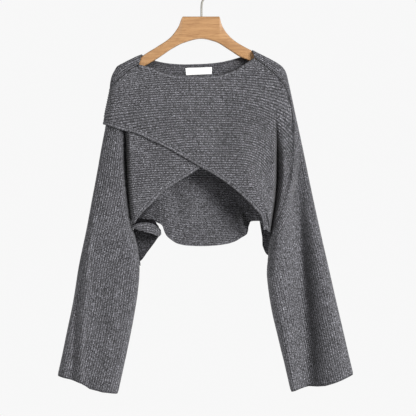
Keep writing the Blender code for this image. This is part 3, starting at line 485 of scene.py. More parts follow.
def crease_field(face, x, d):
    """Height of the soft creases at points of one face."""
    total = np.zeros(np.shape(x))
    for height, width, path in CREASES[face]:
        p = np.array(path, float)
        start = lengths(p)
        best = np.full(np.shape(x), np.inf)
        where = np.zeros(np.shape(x))
        for (ax, ad), (bx, bd), begun in zip(p, p[1:], start):
            long = np.hypot(bx - ax, bd - ad)
            t = clamp(((x - ax) * (bx - ax) + (d - ad) * (bd - ad)) / long ** 2)
            far = np.hypot(x - ax - t * (bx - ax), d - ad - t * (bd - ad))
            where = np.where(far < best, begun + t * long, where)
            best = np.minimum(far, best)
        end = start[-1] if p[-1, 1] > CUFF_DROP else start[-1] - where
        fade = clamp(np.minimum(where, end) / (CREASE_FADE * start[-1]))
        if isinstance(width, tuple):
            width = np.where(x < np.interp(d, p[:, 1], p[:, 0]), *width)
        total = total + height * fade * fade * (3 - 2 * fade) * bell(best / width)
    return total


# Painted shade and painted shadow in deep folds that little light reaches, by cloth: how
# wide to the left and right, and rows of drop, x and how much light is lost.
PAINTED_SHADE = {
    "right_sleeve_cloth": (
        ((8, 24), ((370, 206, 0), (410, 212, 0.25), (495, 219, 0.52), (605, 226, 0.68),
            (715, 239, 0.96), (825, 248, 0.98), (925, 254, 0.85))),
    ),
    "back_cloth": (
        ((9, 4), ((500, -105, 0), (508, -111, 1), (524, -125, 1), (545, -143, 1),
            (552, -148, 1))),
        ((6, 8), ((537, 98, 0), (542, 100, 1), (551, 101, 1), (557, 100, 0))),
        ((38, 14), ((475, 62, 0), (510, 70, 0.45), (545, 77, 0.5), (572, 82, 0.25),
            (592, 84, 0))),
        ((50, 34), ((425, 14, 0), (445, 34, 0.6), (470, 56, 0.72), (500, 74, 0.72),
            (530, 88, 0.62), (570, 96, 0))),
    ),
}


def painted_light_share(name, x, d):
    """Share of the colour's brightness left where shade is painted on a cloth."""
    share = np.ones(np.shape(x))
    for width, rows in PAINTED_SHADE.get(name, ()):
        at, line, lost = np.array(rows, float).T
        off = x - np.interp(d, at, line)
        share = share * (1.0 - np.interp(d, at, lost) * bell(off / np.where(off < 0.0, *width)))
    return share


def normals(grid, closed_from=None):
    du = np.gradient(grid, axis=1)
    if closed_from is not None:
        wrap = grid[closed_from:, 1] - grid[closed_from:, -2]
        du[closed_from:, 0] = wrap
        du[closed_from:, -1] = wrap
    n = np.cross(du, np.gradient(grid, axis=0))
    return n / np.maximum(np.linalg.norm(n, axis=2), 1e-12)[:, :, None]


VALLEY = 0.8            # how narrow the valleys between ribs are
SEAM_HIGH = 1.6         # height of the rib beside a seam, in ribs
SEAM_LOW = 0.35         # how much deeper its valleys are
SEAM_GONE = 430.0       # drop below which it is like the others
SEAM_FADE = 110.0       # height over which it becomes so
CROWDED = 5.0           # distance between ribs below which they get lower
INSIDE = 0.85           # share of a rib's height that shows on the inside


def crest(phase):
    """Rounded rib: 1 on the crest, narrow valleys between."""
    return np.abs(np.cos(np.pi * phase)) ** VALLEY


def seam_crest(s):
    """Rib beside a seam, higher than the others and with deeper valleys."""
    return SEAM_HIGH * np.abs(np.sin(np.pi * clamp(s / SEAM_RIB))) ** 2 - SEAM_LOW


def seam_share(d):
    """The rib beside a seam fades into the others below the shoulder."""
    return clamp((SEAM_GONE - d) / SEAM_FADE)


def arc(grid, axis):
    """Length along rows (axis 1) or columns (axis 0) from the first point."""
    step = np.linalg.norm(np.diff(grid, axis=axis), axis=2)
    first = np.zeros_like(step[:, :1] if axis == 1 else step[:1])
    return np.cumsum(np.concatenate([first, step], axis=axis), axis=axis)


def from_right(grid):
    """Length along the rows counted back from their last point."""
    length = arc(grid, 1)
    return length - length[:, -1:]


def to_edge(grid, axis):
    """Length along rows or columns to the nearer end."""
    length = arc(grid, axis)
    return np.minimum(length, length.take([-1], axis) - length)


def thinned(height, off, by, over):
    """Relief that sinks towards an edge, so that the cloth ends round."""
    return height - by * clamp(1.0 - off / over)


class Sheet:
    """Grid of points whose cut-away rows are drawn together on an edge line."""

    def __init__(self, points, base, top_cut, low_cut, closed_from):
        m, n = points.shape[:2]
        self.ids = np.zeros((m, n), int)
        self.verts = []
        for j in range(n):
            column = points[:, j].copy()
            first = 0
            last = m - 1
            if top_cut is not None:
                first, start = self.cross(points[:, j], base[:, j], top_cut, False)
                column[first] = start
            if low_cut is not None:
                last, stop = self.cross(points[:, j], base[:, j], low_cut, True)
                column[last] = stop if last > first else column[last]
            if closed_from is not None and j == n - 1:
                last = closed_from - 1
            last = max(first, last)
            self.ids[:, j] = len(self.verts) + np.clip(np.arange(m), first, last) - first
            self.verts += list(column[first:last + 1])
        if closed_from is not None:
            self.ids[closed_from:, -1] = self.ids[closed_from:, 0]

    @staticmethod
    def cross(points, base, cut, low):
        """Row at which a column of points ends, and its point on the cut line."""
        over = -base[:, 2] - cut(base[:, 0])
        end = len(base) - 1 if low else 0
        step = -1 if low else 1
        for i in range(end, len(base) - 1 - end, step):
            k = i + step
            if over[i] * over[k] <= 0.0 and over[i] != over[k]:
                t = over[i] / (over[i] - over[k])
                return i, points[i] + (points[k] - points[i]) * t
        return end, points[end]

    def faces(self):
        corners = (self.ids[:-1, :-1], self.ids[:-1, 1:], self.ids[1:, 1:], self.ids[1:, :-1])
        loops = (list(dict.fromkeys(quad)) for quad in zip(*(c.ravel().tolist() for c in corners)))
        return [loop for loop in loops if len(loop) > 2]


def side(ids):
    return list(dict.fromkeys(int(k) for k in ids))


def zipper(verts, a, b):
    """Triangles that join two lines running side by side."""
    def places(line, mark):
        s = lengths(np.array([verts[k][:3] for k in line]))
        s = s / s[-1] if s[-1] > 0 else shares(len(s))
        return [(place, mark) for place in s[1:]]

    i = 0
    j = 0
    out = []
    for _, on_b in sorted(places(a, False) + places(b, True)):
        out.append([a[i], b[j + 1] if on_b else a[i + 1], b[j]])
        i += not on_b
        j += on_b
    return out


def shown(name, mesh):
    obj = bpy.data.objects.new(name, mesh)
    bpy.context.scene.collection.objects.link(obj)
    return obj


def piece(name, nodes, verts, faces, material, sharp=62.0):
    """Shown mesh from rows of x, y, z, u, v."""
    data = np.array(verts, float)
    mesh = bpy.data.meshes.new(name)
    mesh.from_pydata((data[:, :3] * MM).tolist(), [], faces)
    mesh.validate()
    layer = mesh.uv_layers.new(name="knit")
    index = np.zeros(len(mesh.loops), int)
    mesh.loops.foreach_get("vertex_index", index)
    layer.data.foreach_set("uv", data[index, 3:5].astype(np.float32).ravel())
    mesh.materials.append(material)
    mesh.shade_smooth()
    mesh.set_sharp_from_angle(angle=np.radians(sharp))
    obj = shown(name, mesh)
    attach(obj, "root")
    if nodes:
        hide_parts(*nodes)
    return obj


def cloth(name, nodes, grid, relief, inner=(3, 2), facing=0.0, along_rib=None, high=None,
          closed_from=None, top_cut=None, low_cut=None, wall=WALL, material=None,
          painted_shade_inside=None, inside_painted_light=1.0):
    """Corrugated thin wall: ribs outside, the same ribs from the other side inside.

    The inside has a row and a column for every inner ones outside.  facing is the sign
    of y that the outside looks to (0 for a tube), along_rib is the stitch number and
    high the place between valley and crest, which the yarn paints as shade in the
    valleys.  A share given for the inside darkens its colour as painted shade, and a
    material given for its faces is a darker yarn painted as shade on them.
    """
    n = normals(grid, closed_from)
    if facing == 0.0:
        outward = np.sum(n * (grid - grid.mean(axis=1, keepdims=True)))
    else:
        outward = np.sum(n[:, :, 1]) * facing
    flip = outward < 0
    n = -n if flip else n
    along_rib = arc(grid, 1) / LOOP if along_rib is None else along_rib
    high = clamp(relief / RIB if high is None else high)
    front_uv = np.stack([along_rib, high], axis=-1)
    back_uv = np.stack([along_rib, (0.3 + 0.7 * np.sqrt(1.0 - high)) * inside_painted_light], axis=-1)
    outside = np.concatenate([grid + n * relief[:, :, None], front_uv], axis=2)
    inside = np.concatenate([grid + n * (INSIDE * relief - wall)[:, :, None], back_uv], axis=2)
    last = len(grid) - 1
    stop = last if closed_from is None else closed_from
    rows = sorted({*range(0, last, inner[0]), last, stop})
    cols = sorted({*range(0, grid.shape[1] - 1, inner[1]), grid.shape[1] - 1})
    stop_in = rows.index(stop)
    some = np.ix_(rows, cols)
    out = Sheet(outside, grid, top_cut, low_cut, closed_from)
    inn = Sheet(inside[some], grid[some], top_cut, low_cut, None if closed_from is None else stop_in)
    verts = out.verts + inn.verts
    shift = len(out.verts)
    outer_faces = out.faces()
    inner_faces = [[k + shift for k in reversed(face)] for face in inn.faces()]
    faces = outer_faces + inner_faces
    for a, b, back in ((out.ids[0], inn.ids[0], True), (out.ids[last], inn.ids[-1], False),
                       (out.ids[:stop + 1, 0], inn.ids[:stop_in + 1, 0], False),
                       (out.ids[:stop + 1, -1], inn.ids[:stop_in + 1, -1], True)):
        a = side(a)
        b = [k + shift for k in side(b)]
        if len(a) > 1 or len(b) > 1:
            strip = zipper(verts, a, b)
            faces += [face[::-1] for face in strip] if back else strip
    if flip:
        faces = [face[::-1] for face in faces]
    made = piece(name, nodes, verts, faces, material or yarn)
    # Painted shade: the inside faces get a darker copy of the yarn.
    if painted_shade_inside is not None:
        made.data.materials.append(painted_shade_inside)
        for polygon in made.data.polygons[len(outer_faces):len(outer_faces) + len(inner_faces)]:
            polygon.material_index = 1
    return made


def seam_line(points):
    """Position on a seam line of straight pieces, as a function of the drop."""
    x, y, z = points.T

    def value(d):
        d = np.asarray(d, float)
        return np.stack([np.interp(d, -z, x), np.interp(d, -z, y), -d], -1)

    return value


def follow(points, end, goal, reach=PULL):
    """Bend the end of a row of points so that it meets a goal point."""
    order = points if end == 0 else points[::-1]
    pull = clamp(1.0 - lengths(order) / reach) ** 2
    bent = order + (goal - order[0]) * pull[:, None]
    return bent if end == 0 else bent[::-1]


# ---------------------------------------------------------------- materials
class Nodes:
    """Node tree of a material or a world, with short ways to fill it."""

    def __init__(self, owner):
        owner.use_nodes = True
        self.owner = owner
        self.tree = owner.node_tree

    def fill(self, node, inputs):
        """Link or set the inputs of a node, by name or number."""
        for key, value in inputs.items():
            socket = node.inputs[key]
            if isinstance(value, bpy.types.NodeSocket):
                self.tree.links.new(value, socket)
            elif socket.type == "RGBA":
                socket.default_value = (*value, 1.0)
            else:
                socket.default_value = value

    def shade(self, inputs):
        self.fill(self.tree.nodes["Principled BSDF"], inputs)

    def add(self, kind, inputs=None, **values):
        node = self.tree.nodes.new(kind)
        for key, value in values.items():
            setattr(node, key, value)
        self.fill(node, inputs or {})
        return node

    def maths(self, operation, a, b=0.0):
        return self.add("ShaderNodeMath", {0: a, 1: b}, operation=operation).outputs[0]

    def ramp(self, value, *stops):
        """Colour ramp with stops of a place and a colour, or a single number for a grey."""
        node = self.add("ShaderNodeValToRGB", {0: value})
        band = node.color_ramp
        while len(band.elements) < len(stops):
            band.elements.new(0.5)
        for element, (place, colour) in zip(band.elements, stops):
            element.position = place
            element.color = (*(colour if isinstance(colour, tuple) else (colour,) * 3), 1.0)
        return node.outputs[0]

    def noise(self, place, scale, detail=2.0, rough=0.5):
        inputs = {"Vector": place, "Scale": scale, "Detail": detail, "Roughness": rough}
        return self.add("ShaderNodeTexNoise", inputs).outputs["Fac"]

    def mix(self, share, a, b, kind="MIX"):
        inputs = {0: share, 6: a, 7: b}
        return self.add("ShaderNodeMix", inputs, data_type="RGBA", blend_type=kind).outputs[2]

    def times(self, a, b):
        return self.mix(1.0, a, b, "MULTIPLY")

    def place(self, scale=None):
        """Place on the piece, stretched when a scale is given."""
        spot = self.add("ShaderNodeTexCoord").outputs["Object"]
        if scale is None:
            return spot
        return self.add("ShaderNodeMapping", {"Vector": spot, "Scale": scale}).outputs[0]

    def split(self, vector):
        return self.add("ShaderNodeSeparateXYZ", {0: vector}).outputs

    def bump(self, height, strength, distance):
        inputs = {"Height": height, "Strength": strength, "Distance": distance}
        self.shade({"Normal": self.add("ShaderNodeBump", inputs).outputs[0]})


TONE = (0.094, 0.093, 0.1005)


def yarn_material(name, light=1.0, shine=1.0):
    """Melange wool: dark and mid fibres with pale flecks, knitted in small loops.

    The mesh gives the stitch number along a rib and the place between valley and crest,
    from which shade is painted in the valleys.
    """
    look = Nodes(bpy.data.materials.new(name))
    look.shade({"Roughness": 0.9, "Specular IOR Level": 0.2 * shine,
                "Sheen Weight": 0.12 * shine, "Sheen Roughness": 0.6})
    tone = tuple(light * c for c in TONE)
    dark, bright, pale = (tuple(k * c for c in tone) for k in (0.38, 1.5, 2.5))
    spot = look.place()
    u, high = look.split(look.add("ShaderNodeUVMap", uv_map="knit").outputs["UV"])[:2]
    fibres = look.ramp(look.noise(spot, 700.0, 2.0, 0.6),
                       (0.32, dark), (0.50, tone), (0.64, bright), (0.76, pale))
    flecks = look.ramp(look.noise(spot, 420.0, 1.0), (0.54, 0.0), (0.66, 1.0))
    colour = look.mix(look.maths("MULTIPLY", flecks, 0.6), fibres, pale)
    grain = look.noise(spot, 360.0, 3.0, 0.6)
    colour = look.times(colour, look.ramp(grain, (0.36, 0.28), (0.50, 0.95), (0.64, (1.95, 1.95, 1.99))))
    colour = look.times(colour, look.ramp(look.noise(spot, 30.0), (0.30, 0.93), (0.70, 1.06)))
    # Painted shade: the colour darkens in the valleys between ribs, where the yarn shades itself.
    sunk = look.ramp(high, (0.0, (0.20, 0.20, 0.21)), (0.5, (0.60, 0.60, 0.61)), (0.9, 1.0))
    colour = look.times(colour, sunk)
    # Loops along each rib, with dark gaps between them.
    slant = look.maths("MULTIPLY", high, 0.35)
    jitter = look.maths("MULTIPLY", look.noise(spot, 160.0, 1.0), 0.9)
    turn = look.maths("ADD", look.maths("ADD", u, slant), jitter)
    loop = look.maths("SINE", look.maths("MULTIPLY", turn, 6.2832))
    loop = look.maths("MULTIPLY", look.maths("ADD", loop, 1.0), 0.5)
    colour = look.times(colour, look.ramp(loop, (0.0, 0.80), (0.4, 1.0), (1.0, 1.05)))
    # Painted shade: ambient occlusion darkens the colour in narrow folds, which swallow the light.
    deep = look.add("ShaderNodeAmbientOcclusion", {"Distance": 0.024}, samples=6)
    colour = look.times(colour, look.ramp(deep.outputs["AO"], (0.15, 0.22), (0.50, 0.62), (0.78, 1.0)))
    look.shade({"Base Color": colour})
    fuzz = look.maths("MULTIPLY", look.noise(spot, 1500.0, 3.0, 0.7), 0.5)
    look.bump(look.maths("ADD", look.maths("MULTIPLY", loop, 0.7), fuzz), 0.8, 0.0008)
    return look.owner


def wood_material():
    look = Nodes(bpy.data.materials.new("honey_wood"))
    streak = look.noise(look.place((9.0, 60.0, 130.0)), 1.6, 6.0, 0.62)
    pore = look.noise(look.place((60.0, 500.0, 900.0)), 1.0)
    colour = look.ramp(streak, (0.30, (0.290, 0.146, 0.057)), (0.48, (0.366, 0.196, 0.081)),
                       (0.60, (0.415, 0.230, 0.100)), (0.76, (0.470, 0.276, 0.127)))
    colour = look.times(colour, look.ramp(pore, (0.36, (0.78, 0.73, 0.68)), (0.46, 1.0)))
    look.shade({"Base Color": colour, "Roughness": look.ramp(streak, (0.2, 0.50), (0.8, 0.36)),
                "Coat Weight": 0.25, "Coat Roughness": 0.3})
    look.bump(pore, 0.25, 0.0003)
    return look.owner


def steel_material():
    look = Nodes(bpy.data.materials.new("satin_steel"))
    brush = look.noise(look.place((2600.0, 2600.0, 90.0)), 1.0, 3.0, 0.6)
    look.shade({"Metallic": 0.35, "Roughness": look.ramp(brush, (0.3, 0.46), (0.7, 0.58)),
                "Base Color": look.ramp(brush, (0.3, (0.22, 0.21, 0.18)), (0.7, (0.32, 0.31, 0.28)))})
    return look.owner


def label_material():
    look = Nodes(bpy.data.materials.new("white_label"))
    x, _, z = look.split(look.place())
    warp = look.maths("SINE", look.maths("MULTIPLY", x, 9000.0))
    weft = look.maths("SINE", look.maths("MULTIPLY", z, 12000.0))
    weave = look.maths("MULTIPLY", look.maths("MULTIPLY", warp, weft), 0.5)
    weave = look.maths("ADD", weave, 0.5)
    look.shade({"Roughness": 0.7, "Sheen Weight": 0.2,
                "Base Color": look.ramp(weave, (0.0, (0.86, 0.86, 0.85)), (1.0, (0.95, 0.95, 0.94)))})
    look.bump(weave, 0.4, 0.0001)
    return look.owner


yarn = yarn_material("grey_melange_knit")
edging = yarn_material("grey_melange_edging", 0.94)
# Darker, duller copies of the yarn: painted shade for places in shade and painted deep shade for
# hollows.
painted_shade_yarn = yarn_material("grey_melange_painted_shade", 0.46, 0.4)
painted_deep_shade_yarn = yarn_material("grey_melange_painted_deep_shade", 0.12, 0.0)


# ---------------------------------------------------------------- sleeves
def sleeve_creases(face, x, d, seam, outer):
    """Soft creases that fade out at the seam and at the silhouette."""
    fade = clamp((np.abs(x - seam(d)) - 2.0) / 12.0)
    return crease_field(face, x, d) * fade * clamp(np.abs(x - outer(d)) / 10.0)


def sleeve(name, node, rows, closed, front, back, outer, y_front, wave):
    """Tube of ribs that run with the arm, cut off by the seams above the underarm."""
    last = len(rows) - 1
    rows = through(rows, range(last + 1))(np.linspace(0.0, last, last * SLEEVE_FINE + 1))
    closed = closed * SLEEVE_FINE
    wave = between(wave)
    grid = []
    run = []
    t = (1.0 - np.cos(np.linspace(0.0, np.pi, 220))) / 2.0
    for i, (d_out, d_front, d_back) in enumerate(rows):
        a = np.array([front(d_front), d_front])
        o = np.array([outer(d_out), d_out])
        b = np.array([back(d_back), d_back])
        fore = a + (o - a) * t[:, None]
        aft = o + (b - o) * t[1:, None]
        late = clamp((i - len(rows) + 1 + CUFF_ROWS) / CUFF_ROWS) ** 2
        fore[:, 1] += late * wave(t)
        aft[:, 1] -= late * 0.6 * wave(1.0 - t[1:])
        yf = y_front(*fore.T)
        yb = y_back(*aft.T)
        yf[-1] = 0.0
        if i >= closed:
            yf[0] = 0.0
            yb[-1] = 0.0
        yf = yf - sleeve_creases("front", *fore.T, front, outer)
        yb = yb + sleeve_creases("back", *aft.T, back, outer)
        x, d = np.vstack([fore, aft]).T
        line = np.column_stack([x, np.concatenate([yf, yb]), -d])
        pos = lengths(line)
        trim = SEAM if i < closed else 0.0
        want = np.linspace(trim, pos[-1] - trim, SLEEVE_COLS + 1)
        grid.append(pick(want, pos, line))
        run.append(want - pos[len(fore) - 1])
    grid = np.array(grid)
    run = np.array(run)
    height = RIB * crest(run / PITCH)
    from_seam = np.minimum(run - run[:, :1], run[:, -1:] - run)
    beside = seam_share(-grid[:, :, 2]) * (from_seam < SEAM_RIB)
    height = height + beside * (RIB * seam_crest(from_seam) - height)
    height = thinned(height, arc(grid[::-1], 0)[::-1], 0.9, 1.6)
    # Painted shade: the front of the sleeve is darkened in its deep folds through high.
    light = np.where(run < 0.0, painted_light_share(name, grid[:, :, 0], -grid[:, :, 2]), 1.0)
    made = cloth(name, (node,), grid, height, (2, 3), along_rib=arc(grid, 0) / LOOP,
                 high=light * height / RIB, closed_from=closed)
    return made, seam_line(grid[:closed + 1, 0]), seam_line(grid[:closed + 1, -1])


left_sleeve, left_front_edge, left_back_edge = sleeve(
    "left_sleeve_cloth", "sleeve_left", LEFT_ROWS, LEFT_CLOSED, left_front, left_back, left_outer,
    y_inner, LEFT_WAVE)
right_sleeve, right_front_edge, right_back_edge = sleeve(
    "right_sleeve_cloth", "sleeve_right", RIGHT_ROWS, RIGHT_CLOSED, right_front, right_back,
    right_outer, y_outer, RIGHT_WAVE)


# ---------------------------------------------------------------- edge lines
def moved(rows, width, t, narrow=EVEN):
    """An edge line moved sideways, by a share of the width that changes along it."""
    path = along(rows)(t)
    step = np.gradient(path, axis=0)
    step = step / np.linalg.norm(step, axis=1)[:, None]
    out = np.column_stack([-step[:, 1], step[:, 0]])
    return path + out * (width * between(narrow)(t))[:, None]


def by_drop(*lines):
    """x of lines that join end to end, as a function of the drop."""
    rows = np.vstack(lines)
    return between(rows[np.argsort(rows[:, 1]), ::-1])


RIM = 12.0              # width beside the silhouette over which creases fade
EDGE_T = shares(400)
wrap_left_x = by_drop(along(RAGLAN)(shares(60)),
                      moved(WRAP_EDGE, -(BAND + 0.1), EDGE_T, WRAP_BESIDE)[6:])
under_right_x = by_drop(HIDDEN_END, moved(UNDER_EDGE, -(BAND + 0.1), EDGE_T, UNDER_NARROW)[:-1])


def below(rows, width):
    """Cut line beside an edge, drawn on past both of its ends, as drop by x."""
    line = moved(rows, width, EDGE_T)
    a = line[0] + (line[0] - line[9]) * 3.0
    b = line[-1] + (line[-1] - line[-10]) * 3.0
    line = np.vstack([a, line, b])
    line = line[np.argsort(line[:, 0])]
    return between(line[np.concatenate([[True], np.diff(line[:, 0]) > 0.05])])


NEAR = 24.0             # distance from a mark within which x are closer together


def close_set(lo, hi, marks):
    """Many x between two ends, closer together near the marks."""
    near = NEAR * shares(60) ** 2
    xs = [np.linspace(lo, hi, 420)]
    for mark in marks:
        xs += [mark + near, mark - near]
    xs = np.unique(np.concatenate(xs))
    return xs[(xs >= lo) & (xs <= hi)]


def wrap_point(x, d):
    """Place a point of the outer front; x beyond the silhouette turns to the back."""
    edge_x = wrap_outer(d)
    behind = x < edge_x
    off = np.abs(x - edge_x)
    x = np.where(behind, 2 * edge_x - x, x)
    soft = crease_field("front", x, d) * clamp(off / RIM)
    y = np.where(behind, y_cape(x, d), y_outer(x, d) - soft)
    return np.stack([x, y, -d], axis=-1)


def off_seam(away):
    """Share of a crease that is left at a distance from a seam of a panel."""
    return clamp((away - 4.0) / 14.0)


def inner_point(x, d):
    y = y_inner(x, d) - crease_field("inner", x, d) * off_seam(x - left_front(d))
    cover = y_outer(x, d) - crease_field("front", x, d) + LAYER - 0.3
    return np.stack([x, y + covered(x) * np.maximum(cover - y, 0.0), -d], axis=-1)


def back_point(x, d):
    fade = off_seam(x - left_back(d)) * off_seam(right_back(d) - x)
    return np.stack([x, y_back(x, d) + crease_field("back", x, d) * fade, -d], axis=-1)


def sag(x, left, middle, right, bend):
    """Drop of a rib at x, from its (x, drop) at both ends and in the middle."""
    tl = clamp((middle[0] - x) / max(middle[0] - left[0], 1.0))
    tr = clamp((x - middle[0]) / max(right[0] - middle[0], 1.0))
    fall = (left[1] - middle[1]) * tl ** bend[0]
    return middle[1] + fall + (right[1] - middle[1]) * tr ** bend[1]


def nearest(xs, line, rib):
    """The x at which a rib crosses a line given as x by drop."""
    return xs[np.argmin(np.abs(xs - line(sag(xs, *rib))))]


def rib_line(place, rib, marks, steps, bend, trim_a, trim_b):
    """Points along one rib of a panel, closer together near the marks and in bends."""
    x = close_set(rib[0][0], rib[2][0], marks)
    return resample(place(x, sag(x, *rib)), steps, bend, trim_a, trim_b)


def rib_steps(first, last):
    """Steps between rows of points from the first rib's drop to the last one's."""
    return int(round((last - first) / PITCH)) * FINE


def mid_drops(table):
    first, last = table[0][0], table[-1][0]
    return np.linspace(first, last, rib_steps(first, last) + 1)


def wrap_grid():
    left_d, right_d, bend = (smooth(WRAP_ROWS, 0, column) for column in (1, 2, 3))
    grid = []
    for mid in mid_drops(WRAP_ROWS):
        dl = float(left_d(mid))
        dr = float(right_d(mid))
        xl = wrap_left_x(dl)
        xr = float(right_front(dr))
        middle = (MIDDLE, mid) if xl < MIDDLE else (xl, dl)
        rib = ((xl, dl), middle, (xr, dr), (2.0, float(bend(mid))))
        turn = nearest(np.linspace(xl, xl + 60.0, 241), wrap_outer, rib)
        low = nearest(np.linspace(xl, xr, 400), right_fold, rib)
        line = rib_line(wrap_point, rib, (turn, low, xr), WRAP_COLS, 30.0, SEAM, 0.0)
        goal = right_front_edge(dr) - (2 * SEAM, 0.0, 0.0)
        line = follow(line, 1, goal, min(PULL, 0.6 * (xr - xl)))
        line[:, 0] = np.minimum(line[:, 0], right_front_edge(-line[:, 2])[:, 0] - 2 * SEAM)
        grid.append(line)
    return np.array(grid)


def under_grid():
    left_d, right_d = (smooth(UNDER_ROWS, 0, column) for column in (1, 2))
    grid = []
    for mid in mid_drops(UNDER_ROWS):
        dl = float(left_d(mid))
        dr = float(right_d(mid))
        xl = float(left_front(dl))
        xr = under_right_x(dr)
        middle = (0.0, mid) if xr > 0.0 else (xr, dr)
        rib = ((xl, dl), middle, (xr, dr), (2.0, 2.0))
        line = rib_line(inner_point, rib, (xl,), UNDER_COLS, 20.0, 0.0, SEAM)
        goal = left_front_edge(dl) + (2 * SEAM, 0.0, 0.0)
        grid.append(follow(line, 0, goal, min(PULL, 0.6 * (xr - xl))))
    return np.array(grid)


def back_grid():
    top = np.array(BACK_TOP)
    low = np.array(BACK_LOW)
    grid = []
    for t in shares(rib_steps(top[0], low[0]) + 1):
        mid, dl, dr = top + (low - top) * (t, t ** 0.96, t)
        xl = float(left_back(dl))
        xr = float(right_back(dr))
        rib = ((xl, dl), (BACK_MIDDLE, mid), (xr, dr), (2.2, 2.2))
        line = rib_line(back_point, rib, (xl, xr), BACK_COLS, 10.0, 0.0, 0.0)
        line = follow(line, 0, left_back_edge(dl) + (2 * SEAM, 0.0, 0.0))
        grid.append(follow(line, 1, right_back_edge(dr) - (2 * SEAM, 0.0, 0.0))[::-1])
    return np.array(grid)


def rib_height(grid, seams):
    """Ribs along the rows, lower where they crowd, with one rib beside each seam.

    seams holds 0 for one at the start of the rows and 1 for one at their end.  The
    second table is the place between valley and crest.
    """
    ribs = crest(np.arange(len(grid)) / FINE)[:, None]
    run = np.gradient(grid, axis=1)
    apart = np.linalg.norm(np.cross(run, np.gradient(grid, axis=0)), axis=2)
    apart = apart * FINE / np.maximum(np.linalg.norm(run, axis=2), 1e-6)
    apart = np.clip(apart / CROWDED, 0.12, 1.05)
    height = RIB * ribs * apart
    high = 1.0 - (1.0 - ribs) * np.minimum(1.0, apart)
    s = arc(grid, 1)
    wide = np.minimum(1.0, s[:, -1:] / (2.5 * SEAM_RIB))
    for seam in seams:
        away = s if seam == 0 else s[:, -1:] - s
        beside = seam_share(-grid[:, :, 2]) * (away < SEAM_RIB * wide)
        height = height + beside * (RIB * seam_crest(away / wide) - height)
        high = high + beside * (seam_crest(away / wide) - high)
    return np.stack([height, high])


# ---------------------------------------------------------------- panels
grid = wrap_grid()
on_band = -grid[:, :1, 2] > RAGLAN[-1][1]
height, high = np.where(on_band, rib_height(grid, (1,)), rib_height(grid, (0, 1)))
outer_front = cloth("outer_front_cloth", ("wrap_front",), grid, height, facing=-1.0,
                    along_rib=from_right(grid) / LOOP, high=high,
                    top_cut=below(NECK_FRONT, NECK_BAND), low_cut=smooth(TAB))

grid = under_grid()
height, high = rib_height(grid, (0,))
inner_front = cloth("inner_front_cloth", ("under_front",), grid, height, facing=-1.0, high=high,
                    top_cut=below(NECK_FRONT, NECK_BAND + 1.5))

grid = back_grid()
height, high = rib_height(grid, (0, 1))
hem_cut = smooth(BACK_HEM)
height = thinned(height, np.abs(hem_cut(grid[:, :, 0]) + grid[:, :, 2]), 0.8, 2.0)
# Painted shade and painted shadow darken the inside of the back in its folds and beneath the fronts'
# edges.
back_panel = cloth("back_cloth", ("back",), grid, height, (1, 1), 1.0, from_right(grid) / LOOP, high,
                   top_cut=below(NECK_BACK, NECK_BAND - 0.6), low_cut=hem_cut,
                   inside_painted_light=painted_light_share("back_cloth", grid[:, :, 0], -grid[:, :, 2]))

# Painted shade: the corner under the right arm lies in shade inside the garment and gets the darker copy
# of the yarn.
CORNER_X = 126.0        # x beyond which it lies
CORNER_DROP = 552.0     # drop below which it lies
back_panel.data.materials.append(painted_shade_yarn)
for face in back_panel.data.polygons:
    at = face.center / MM
    if face.normal.y < 0.2 and at.x > CORNER_X and -at.z > CORNER_DROP:
        face.material_index = 1


# ---------------------------------------------------------------- edge bands
def band(name, node, rows, width, ribs, place, t, facing=-1.0, narrow=EVEN, wall=WALL):
    """Strip along an edge with ribs that run along it and a rounded free edge."""
    lines = []
    steps = ribs * FINE
    for k in range(steps + 1):
        lines.append(place(*moved(rows, width * k / steps, t, narrow).T))
    grid = np.array(lines)
    ribs_up = crest(0.5 + np.arange(steps + 1) / steps * (ribs - 0.35))
    ribs_up = np.repeat(ribs_up[:, None], len(t), axis=1)
    height = RIB * (0.45 + 0.55 * ribs_up)
    height = thinned(height, np.linalg.norm(grid - grid[:1], axis=2), 1.0, 1.8)
    height = height * clamp(to_edge(grid, 1) / 2.0)
    # Painted shade: high darkens the rib valleys and the free edge of the band.
    return cloth(name, (node,), grid, height, (2, 1), facing, high=0.2 + 0.8 * ribs_up, wall=wall,
                 material=edging)


def neck_front_point(x, d):
    return wrap_point(x, d) - (0.0, 0.5, 0.0)


def neck_back_point(x, d):
    return back_point(x, d) + (0.0, 0.2, 0.0)


outer_band = band("outer_front_edging", "wrap_band", WRAP_EDGE[:BAND_ROWS] + BAND_END, -BAND, 2,
                  wrap_point, shares(260) ** 1.2)
inner_band = band("inner_front_edging", "under_band", UNDER_EDGE, -BAND, 2, inner_point, shares(200),
                  narrow=UNDER_NARROW)
neck_front = band("front_neck_edging", "neck_band_front", NECK_FRONT, NECK_BAND + 0.4, 1,
                  neck_front_point, shares(150), wall=NECK_WALL)
neck_back = band("back_neck_edging", "neck_band_back", NECK_BACK, NECK_BAND + 0.4, 1,
                 neck_back_point, shares(130), facing=1.0, wall=NECK_WALL)

# ---------------------------------------------------------------- rolled hem
roll_x, roll_y, roll_top, roll_low = along(LEFT_ROLL)(shares(110)).T


def beside_arm(x, d):
    """Keep a point of the hem off the left sleeve."""
    return np.maximum(x, left_front(d) + 0.6)


lines = []
for k in range(ROLL_FINE + 1):
    d = roll_top + (roll_low - roll_top) * k / ROLL_FINE
    lines.append(np.column_stack([beside_arm(roll_x, d), roll_y, -d]))
grid = np.array(lines)
height = thinned(RIB * crest(arc(grid, 0) / PITCH), to_edge(grid, 0), 0.9, 1.6)
# Painted shade: the inside faces of the roll get the darker copy of the yarn.
roll = cloth("rolled_hem_cloth", ("left_side_roll",), grid, height, (2, 1), painted_shade_inside=painted_shade_yarn)

